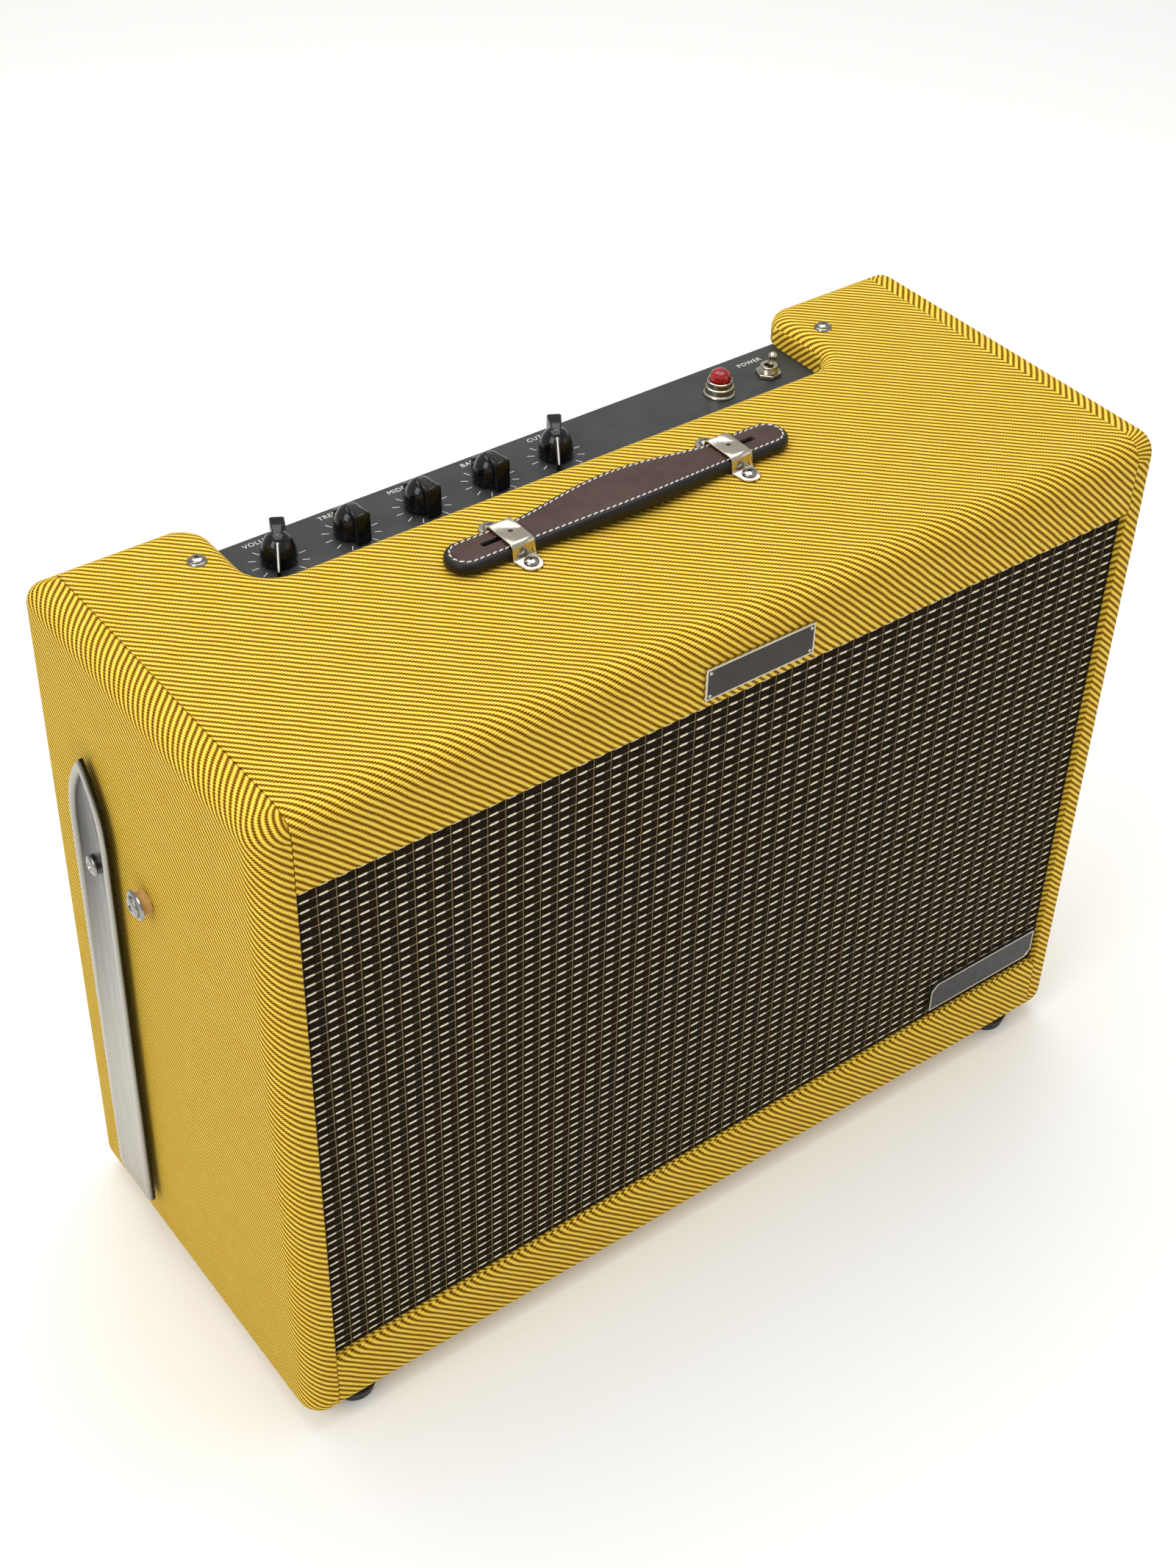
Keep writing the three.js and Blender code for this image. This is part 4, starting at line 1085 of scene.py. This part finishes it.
BEZEL = (
    (6.1, -6), (7.4, -6), (7.4, 0.1), (9.5, 0.1), (9.8, 0.4), (9.8, 1.1), (9.4, 1.6), (8.9, 1.9), (8.75, 2.6),
    (8.8, 5.0), (8.6, 5.5), (8.0, 5.7), (7.8, 5.9), (7.9, 6.2), (7.9, 9.0), (7.7, 9.5), (7.2, 9.7),
    (6.8, 9.4), (6.6, 9.0), (6.1, 9.0), (6.1, -6),
)


def make_lamp():
    place = Vector((middle("jewel_bezel").x, CONTROL_ROW, PANEL))
    obj = new_object("jewel_bezel_piece", lathe("bezel", BEZEL, place, "Z", 56), "nickel", ROOT)
    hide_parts("jewel_bezel")
    bm = bmesh.new()
    facets = 10
    levels = ((6.0, -4.0, 0), (6.0, 9.4, 0), (6.7, 10.0, 0), (6.7, 11.6, 0.5), (6.0, 13.6, 0),
              (4.5, 15.2, 0.5), (2.3, 16.1, 0))
    rings = [plane_ring(bm, polygon(r, facets, 360 * shift / facets), "XY", h * MM) for r, h, shift in levels]
    bmesh.ops.convex_hull(bm, input=[v for ring in rings[2:] for v in ring])
    bridge(bm, rings[:3], first=True)
    bm.transform(Matrix.Translation(place))
    lens = bevelled("jewel_lens_piece", bm, 0.12, 1, 12, "red_glass", weighted=False)
    lens.data.set_sharp_from_angle(angle=math.radians(8))
    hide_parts("jewel_lens")


# The switch's lever about its pivot: a ball, a thin neck and a bat that widens to its rounded tip.
LEVER = (
    (0, -2.4), (1.2, -2.1), (2.1, -1.2), (2.4, 0), (2.1, 1.2), (1.5, 2.2), (1.4, 3.2), (1.6, 4.2), (1.95, 6),
    (2.3, 8.2), (2.55, 9.8), (2.7, 10.8), (2.6, 11.6), (2.15, 12.4), (1.25, 12.85), (0, 12.95),
)


def make_switch():
    place = Vector((middle("power_switch_nut").x, CONTROL_ROW, PANEL))
    hexagon = prism(polygon(8.3, 6, 8), "XY", 0.1 * MM, 2.9 * MM, place)
    nut = bevelled("power_switch_nut_piece", hexagon, 0.45, 3, 30)
    carve(nut, prism(polygon(6.0, 40), "XY", -0.02, 0.02, place))
    smooth(nut.data, 35)
    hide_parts("power_switch_nut")
    thread = [(0, -5), (5.5, -5)]
    for i in range(9):
        thread += [(5.8, -4.6 + 1.25 * i), (5.45, -4.0 + 1.25 * i)]
    thread += [(5.4, 6.8), (5.0, 7.1), (3.3, 7.1), (2.9, 6.7), (2.9, 5.6), (3.4, 5), (3.4, 0.7), (0, 0.7)]
    case = bmesh.new()
    add_mesh(case, lathe("bushing", thread, place, "Z", 40))
    housing = box_bmesh(-6.5 * MM, 6.5 * MM, -9 * MM, 9 * MM, -18 * MM, -2.6 * MM)
    housing.transform(Matrix.Translation(place))
    add_mesh(case, from_bmesh("housing", housing))
    mesh = from_bmesh("switch_body", case, 30)
    body = new_object("power_switch_body_piece", mesh, "nickel", ROOT)
    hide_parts("power_switch_body")
    mesh = lathe("lever", LEVER, (0, 0, 0), "Z", 28, 60)
    top = max((v.co for v in NODES["power_switch_lever"].data.vertices), key=lambda p: p.z)
    pivot = place + Vector((0, 0, 4 * MM))
    lean = math.atan2(pivot.y - top.y, top.z - pivot.z)
    mesh.transform(Matrix.Translation(pivot) @ Matrix.Rotation(lean, 4, "X"))
    lever = new_object("power_switch_lever_piece", mesh, "nickel", "switch_lever")
    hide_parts("power_switch_lever")


make_panel()
make_knobs()
make_lamp()
make_switch()

# ---------------------------------------------------------------- handle

STRAP_HALF = (high("handle_end_right").x - low("handle_end_left").x) / 2
END_HALF_WIDTH = 12.5 * MM
MIDDLE_HALF_WIDTH = 17.5 * MM
HINGE = low("handle_end_right").x
QUARTER = HINGE / 2
SEAM_INSET = 3.5                # millimetres from the strap's edge to the stitched seam
STITCH_PITCH = 4.0 * MM


def swell(x):
    return max(math.cos(math.pi / 2 * min(abs(x) / HINGE, 1)), 0.0) ** 1.3


def strap_edge(x):
    """Half the strap's width, and its slope, where it isn't yet rounding off at an end."""
    w = END_HALF_WIDTH + (MIDDLE_HALF_WIDTH - END_HALF_WIDTH) * swell(x)
    step = 0.1 * MM
    ahead = END_HALF_WIDTH + (MIDDLE_HALF_WIDTH - END_HALF_WIDTH) * swell(x + step)
    return w, (ahead - w) / step


def strap_stations():
    """Points and outward directions along the strap's far edge, from its left tip to its right one."""
    straight = STRAP_HALF - END_HALF_WIDTH
    steps = 14
    count = 132

    def round_end(sign, a):
        x, y = sign * math.cos(a), math.sin(a)
        return sign * straight + END_HALF_WIDTH * x, END_HALF_WIDTH * y, x, y

    stations = [round_end(-1, math.pi / 2 * i / steps) for i in range(steps)]
    for i in range(count + 1):
        x = -straight + 2 * straight * i / count
        w, slope = strap_edge(x)
        n = Vector((-slope, 1)).normalized()
        stations.append((x, w, n.x, n.y))
    return stations + [round_end(1, math.pi / 2 * (1 - i / steps)) for i in range(1, steps + 1)]


def strap_top(x):
    return TOP + (8.6 + 3.4 * swell(x)) * MM


def strap_bottom(x):
    return TOP + (1.0 + 1.6 * swell(x)) * MM


# Layers of the strap's edge: how far in, then the height as a share of the way up plus millimetres.
EDGE_LAYERS = (
    (2.6, 0, 0.0), (1.2, 0, 0.25), (0.35, 0, 0.9), (0.0, 0, 2.0), (0.0, 0.5, 0.0), (0.0, 1, -3.2),
    (0.3, 1, -2.0), (1.0, 1, -1.0), (1.8, 1, -0.5), (SEAM_INSET - 0.25, 1, -0.38),
    (SEAM_INSET + 0.15, 1, -0.5), (SEAM_INSET + 0.5, 1, -0.25), (SEAM_INSET + 1.1, 1, 0.0),
)
SEAM_LAYER = 10
CROWN_STEPS = (0.66, 0.33, 0.0, -0.33, -0.66)


def strap_point(station, inset, share, lift, side):
    x, y, nx, ny = station
    px = x - nx * inset * MM
    py = max(y - ny * inset * MM, 0.0)
    z = strap_bottom(px) + (strap_top(px) - strap_bottom(px)) * share + lift * MM
    return px, HANDLE_ROW + side * py, z


def strap_section(station):
    """One closed section of the strap: far edge, crowned top, near edge and sole."""
    far = [strap_point(station, inset, share, lift, 1) for inset, share, lift in EDGE_LAYERS]
    near = [strap_point(station, inset, share, lift, -1) for inset, share, lift in EDGE_LAYERS]
    edge = far[-1]
    half = edge[1] - HANDLE_ROW
    crown = [(edge[0], HANDLE_ROW + half * f, edge[2] + 0.35 * MM * (1 - f * f)) for f in CROWN_STEPS]
    sole = far[0]
    base = [(sole[0], HANDLE_ROW + (sole[1] - HANDLE_ROW) * f, sole[2]) for f in (-0.4, 0.4)]
    return far + crown + near[::-1] + base


def cut_between(bm, start, end):
    """Keeps the part of a mesh between two places along X, and closes the cuts."""
    for place, outward in ((start, -1), (end, 1)):
        if place is None:
            continue
        result = bmesh.ops.bisect_plane(
            bm, geom=bm.verts[:] + bm.edges[:] + bm.faces[:], dist=1e-7, plane_co=(place, 0, 0),
            plane_no=(outward, 0, 0), clear_outer=True)
        cut = [e for e in result["geom_cut"] if isinstance(e, bmesh.types.BMEdge)]
        bmesh.ops.holes_fill(bm, edges=cut, sides=0)


def strap_piece(start, end):
    bm = bmesh.new()
    rings = [[bm.verts.new(p) for p in strap_section(s)] for s in strap_stations()]
    count = len(rings[0])
    face_start = SEAM_LAYER
    face_end = 2 * len(EDGE_LAYERS) + len(CROWN_STEPS) - 1 - SEAM_LAYER
    for a, b in zip(rings, rings[1:]):
        for i in range(count):
            j = (i + 1) % count
            face = bm.faces.new((a[i], b[i], b[j], a[j]))
            face.material_index = 1 if face_start <= i < face_end else 0
    bmesh.ops.remove_doubles(bm, verts=bm.verts, dist=1e-6)
    cut_between(bm, start, end)
    return bm


def strap_notch(sign):
    """The slot in one end of the strap, as a cutter; sign is -1 for the left end, 1 for the right."""
    half = 1.8 * MM
    notch = arc((94 * MM - half, 0), half, -90, 90, 8) + [(70 * MM, half), (70 * MM, -half)]
    return prism([(sign * x, HANDLE_ROW + y) for x, y in notch], "XY", TOP + 5 * MM, TOP + 30 * MM)


def stitch_mesh(start, end):
    """The stitches of the seam between two places along X, each a little bead lying a shade askew."""
    bm = bmesh.new()
    line = []
    for side in (1, -1):
        points = [strap_point(s, SEAM_INSET - 0.1, 1, -0.1, side) for s in strap_stations()]
        line += points if side > 0 else points[::-1]
    walked = 0.0
    due = STITCH_PITCH / 2
    for p, q in zip(line, line[1:] + line[:1]):
        a, b = Vector(p), Vector(q)
        length = (b - a).length
        while length > 1e-9 and walked + length >= due:
            centre = a.lerp(b, (due - walked) / length)
            due += STITCH_PITCH
            if (start is None or centre.x > start) and (end is None or centre.x <= end):
                add_stitch(bm, centre, (b - a).normalized())
        walked += length
    return from_bmesh("stitches", bm, 60)


def add_stitch(bm, centre, ahead):
    aside = Vector((-ahead.y, ahead.x, 0)).normalized()
    ahead = (ahead + aside * 0.14).normalized()
    up = ahead.cross(aside).normalized()
    rings = []
    for along, girth in ((-1.55, 0.25), (-1.3, 0.75), (-0.6, 1.0), (0.6, 1.0), (1.3, 0.75), (1.55, 0.25)):
        sink = -0.22 * (abs(along) / 1.55) ** 3
        ring = []
        for i in range(6):
            a = 2 * math.pi * i / 6
            offset = aside * math.cos(a) * 0.52 * girth + up * (math.sin(a) * 0.42 * girth + sink)
            ring.append(bm.verts.new(centre + (ahead * along + offset) * MM))
        rings.append(ring)
    bridge(bm, rings, first=True, last=True)


def make_handle():
    """The strap in three spans, cut apart at the quarter points, each with its stitches."""
    outer = HINGE - 2 * MM
    inner = outer - 15 * MM
    bend = 22 * MM
    end_left, half_left, half_right, end_right = (
        "handle_end_left", "handle_half_left", "handle_half_right", "handle_end_right")
    spans = (
        ("left", None, -QUARTER, end_left, half_left, -outer, -inner, (end_left,)),
        ("middle", -QUARTER, QUARTER, half_left, half_right, -bend, bend, (half_left, half_right)),
        ("right", QUARTER, None, half_right, end_right, inner, outer, (end_right,)),
    )
    for name, start, end, a, b, bend_start, bend_end, nodes in spans:
        mesh = from_bmesh(f"strap_{name}", strap_piece(start, end), 60)
        mesh.materials.append(M["leather_edge"])
        mesh.materials.append(M["leather"])
        strap = new_object(f"strap_{name}", mesh, "leather", None)
        for sign, cut_place in ((-1, start), (1, end)):
            if cut_place is None:
                carve(strap, strap_notch(sign))
        thread = new_object(f"strap_stitches_{name}", stitch_mesh(start, end), "thread", None)
        for obj in (strap, thread):
            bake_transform(obj)
        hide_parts(*nodes)


make_handle()

# ---------------------------------------------------------------- grille, back panel, sockets and insides


def map_flat_cloth(obj):
    """Cloth laid flat on each face of a board."""
    mesh = obj.data
    layer = mesh.uv_layers.new(name="cloth")
    for face in mesh.polygons:
        n = face.normal
        for index in face.loop_indices:
            p = mesh.vertices[mesh.loops[index].vertex_index].co
            if abs(n.y) >= max(abs(n.x), abs(n.z)):
                layer.data[index].uv = (-p.x if n.y > 0 else p.x, p.z)
            elif abs(n.z) >= abs(n.x):
                layer.data[index].uv = (-p.x, p.y)
            else:
                layer.data[index].uv = (p.y, p.z)
    mesh.uv_layers.active = layer


def make_back_panel():
    panel = rounded_from_cad("back_panel", 2.0, 4, 40)
    map_flat_cloth(panel)
    a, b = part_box("back_panel")
    tilt = math.atan2(REAR_BOTTOM - REAR_TOP, TOP - BASE)
    margin = 12 * MM
    columns = 5
    count = 0
    for height in (a.z + margin, b.z - margin):
        for i in range(columns):
            x = a.x + margin + (b.x - a.x - 2 * margin) * i / (columns - 1)
            seat = Vector((x, rear_at(height) - 2.0 * MM, height))
            obj = screw(f"back_panel_screw_{count}", (0, 0, 0), "Y", 3.7, 1.6, 1.6, 6.2, 1.6,
                        turn=30 * count + 12, covers=False)
            obj.data.transform(Matrix.Translation(seat) @ Matrix.Rotation(tilt, 4, "X"))
            count += 1


def add_box(bm, x, y, length, width, z0, z1):
    """Adds a block about a place: length along X and width along Y in millimetres, heights in metres."""
    half_x = length / 2 * MM
    half_y = width / 2 * MM
    add_mesh(bm, from_bmesh("block", box_bmesh(x - half_x, x + half_x, y - half_y, y + half_y, z0, z1)))


def make_sockets():
    rounded_from_cad("mains_inlet", 0.45, 2, 40)
    centre = middle("mains_inlet")
    for i, (x, z) in enumerate(((-7, 1.6), (0, -2.6), (7, 1.6))):
        blade = box_bmesh(centre.x + (x - 1.0) * MM, centre.x + (x + 1.0) * MM,
                          PANEL_REAR - 17.2 * MM, PANEL_REAR - 4 * MM,
                          centre.z + (z - 3.0) * MM, centre.z + (z + 3.0) * MM)
        bevelled(f"mains_inlet_blade_{i}", blade, 0.3, 2, 30)
    for side, sign in (("left", -1), ("right", 1)):
        seat = Vector((centre.x + sign * 20 * MM, PANEL_REAR + 2.8 * MM, centre.z))
        screw(f"mains_inlet_screw_{side}", seat, "Y", 2.8, 1.2, 1.4, covers=False)
    for name in ("input_jack", "line_out_jack"):
        rounded_from_cad(name, 0.3, 2, 35)
        centre = middle(name)
        ring = [(5.0, 0.1), (8.6, 0.1), (8.7, 0.5), (8.4, 0.9), (5.0, 0.9), (5.0, 0.1)]
        mesh = lathe("washer", ring, Vector((centre.x, PANEL_REAR, centre.z)), "Y", 40)
        new_object(f"{name}_washer", mesh, "nickel", ROOT)


def make_insides():
    rounded_from_cad("grille_panel", 1.2, 3, 40)
    rounded_from_cad("baffle_board", 0.8, 2, 40)
    for node in ("speaker_basket", "speaker_cone", "speaker_dust_cap", "speaker_magnet"):
        rounded_from_cad(node, 0.6, 2, 35)
    for name in CONTROLS:
        rounded_from_cad(f"{name}_pot", 0.25, 2, 35)
    rounded_from_cad("circuit_board", 0.25, 1, 40)
    a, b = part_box("circuit_board")
    cans = bmesh.new()
    chips = bmesh.new()
    for i in range(9):
        x = a.x + (b.x - a.x) * (i + 0.7) / 9.6
        y = a.y + (b.y - a.y) * (0.3 + 0.14 * (i % 3))
        radius = (3.5, 5.0, 4.0)[i % 3]
        tall = (9, 14, 11)[i % 3]
        can = ((0, 0), (radius * 0.9, 0), (radius, 0.6), (radius * 0.94, 1.4), (radius, 2.2),
               (radius, tall - 0.7), (radius * 0.86, tall), (0, tall))
        add_mesh(cans, lathe("can", can, Vector((x, y, a.z - tall * MM)), "Z", 20))
        y = a.y + (b.y - a.y) * (0.74 - 0.1 * (i % 2))
        add_box(chips, x, y, 10, 6, a.z - 2.4 * MM, a.z - 0.02 * MM)
        for k in (-2, -1, 0, 1, 2):
            add_box(chips, x + k * 2.2 * MM, y, 0.6, 9.2, a.z - 0.8 * MM, a.z)
    new_object("circuit_board_capacitors", from_bmesh("cans", cans), "dark_metal", ROOT)
    bevelled("circuit_board_chips", chips, 0.2, 1, 30, "black_plastic")
    rounded_from_cad("power_supply", 1.5, 3, 30)
    a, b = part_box("power_supply")
    fins = bmesh.new()
    for i in range(11):
        x = a.x + (b.x - a.x) * (i + 1) / 12
        add_box(fins, x, (a.y + b.y) / 2, 2, (b.y - a.y) / MM - 8, a.z - 5 * MM, a.z + 1 * MM)
    bevelled("power_supply_fins", fins, 0.5, 2, 30, "dark_metal")


make_back_panel()
make_sockets()
make_insides()

# ---------------------------------------------------------------- light, floor and camera


def make_stage():
    world = bpy.data.worlds.new("studio")
    bpy.context.scene.world = world
    world.use_nodes = True
    background = next(n for n in world.node_tree.nodes if n.type == "BACKGROUND")
    background.inputs["Color"].default_value = (1.0, 0.995, 0.985, 1)
    background.inputs["Strength"].default_value = 0.6
    floor_mesh = bpy.data.meshes.new("floor")
    bm = bmesh.new()
    bmesh.ops.create_grid(bm, x_segments=1, y_segments=1, size=6)
    bm.to_mesh(floor_mesh)
    bm.free()
    floor = bpy.data.objects.new("floor", floor_mesh)
    bpy.context.scene.collection.objects.link(floor)
    s = Shader("floor_paint", 0.8, color=(0.90, 0.90, 0.89), Specular_IOR_Level=0.1)
    s.set("Emission Color", (1, 1, 1, 1))
    s.set("Emission Strength", 0.12)
    floor_mesh.materials.append(s.material)
    for name, place, size, power, color in (
        ("key", (-2.0, -0.5, 2.0), 1.4, 24, (1.0, 0.99, 0.96)),
        ("top", (0.2, 0.5, 2.4), 2.0, 33, (1.0, 1.0, 1.0)),
        ("fill", (1.8, -2.0, 1.2), 1.4, 4, (1.0, 0.99, 0.97)),
    ):
        light = bpy.data.lights.new(name, "AREA")
        light.size = size
        light.energy = power
        light.color = color
        lamp = bpy.data.objects.new(name, light)
        lamp.location = place
        aim = Vector((0, 0, 0.3)) - lamp.location
        lamp.rotation_mode = "QUATERNION"
        lamp.rotation_quaternion = aim.to_track_quat("-Z", "Y")
        bpy.context.scene.collection.objects.link(lamp)


# The view from the front left and above: the place in metres, angles in degrees, the lens in millimetres.
CAMERA_PLACE = (-0.6557, FRONT - 0.7118, BASE + 1.1845)
CAMERA_YAW = 37.38
CAMERA_PITCH = 40.78
CAMERA_ROLL = 1.54
CAMERA_LENS = 52.6


def make_camera():
    yaw, pitch, roll = (math.radians(a) for a in (CAMERA_YAW, CAMERA_PITCH, CAMERA_ROLL))
    ahead = Vector((math.sin(yaw) * math.cos(pitch), math.cos(yaw) * math.cos(pitch), -math.sin(pitch)))
    right = Vector((math.cos(yaw), -math.sin(yaw), 0))
    up = right.cross(ahead)
    right_rolled = right * math.cos(roll) + up * math.sin(roll)
    up_rolled = right_rolled.cross(ahead)
    data = bpy.data.cameras.new("camera")
    data.sensor_width = 36
    data.sensor_fit = "AUTO"
    data.lens = CAMERA_LENS
    camera = bpy.data.objects.new("camera", data)
    basis = Matrix((right_rolled, up_rolled, -ahead)).transposed().to_4x4()
    camera.matrix_world = Matrix.Translation(CAMERA_PLACE) @ basis
    bpy.context.scene.collection.objects.link(camera)
    bpy.context.scene.camera = camera


make_stage()
make_camera()

# ---------------------------------------------------------------- CAD nodes that still show

for row in frame["record"]["subparts"]:
    node = NODES[row["node"]]
    if not node.hide_render:
        node.data.materials.clear()
        node.data.materials.append(M[finish_of(row["material_slot"])])

bpy.context.scene.view_settings.view_transform = "Standard"
bpy.context.view_layer.update()
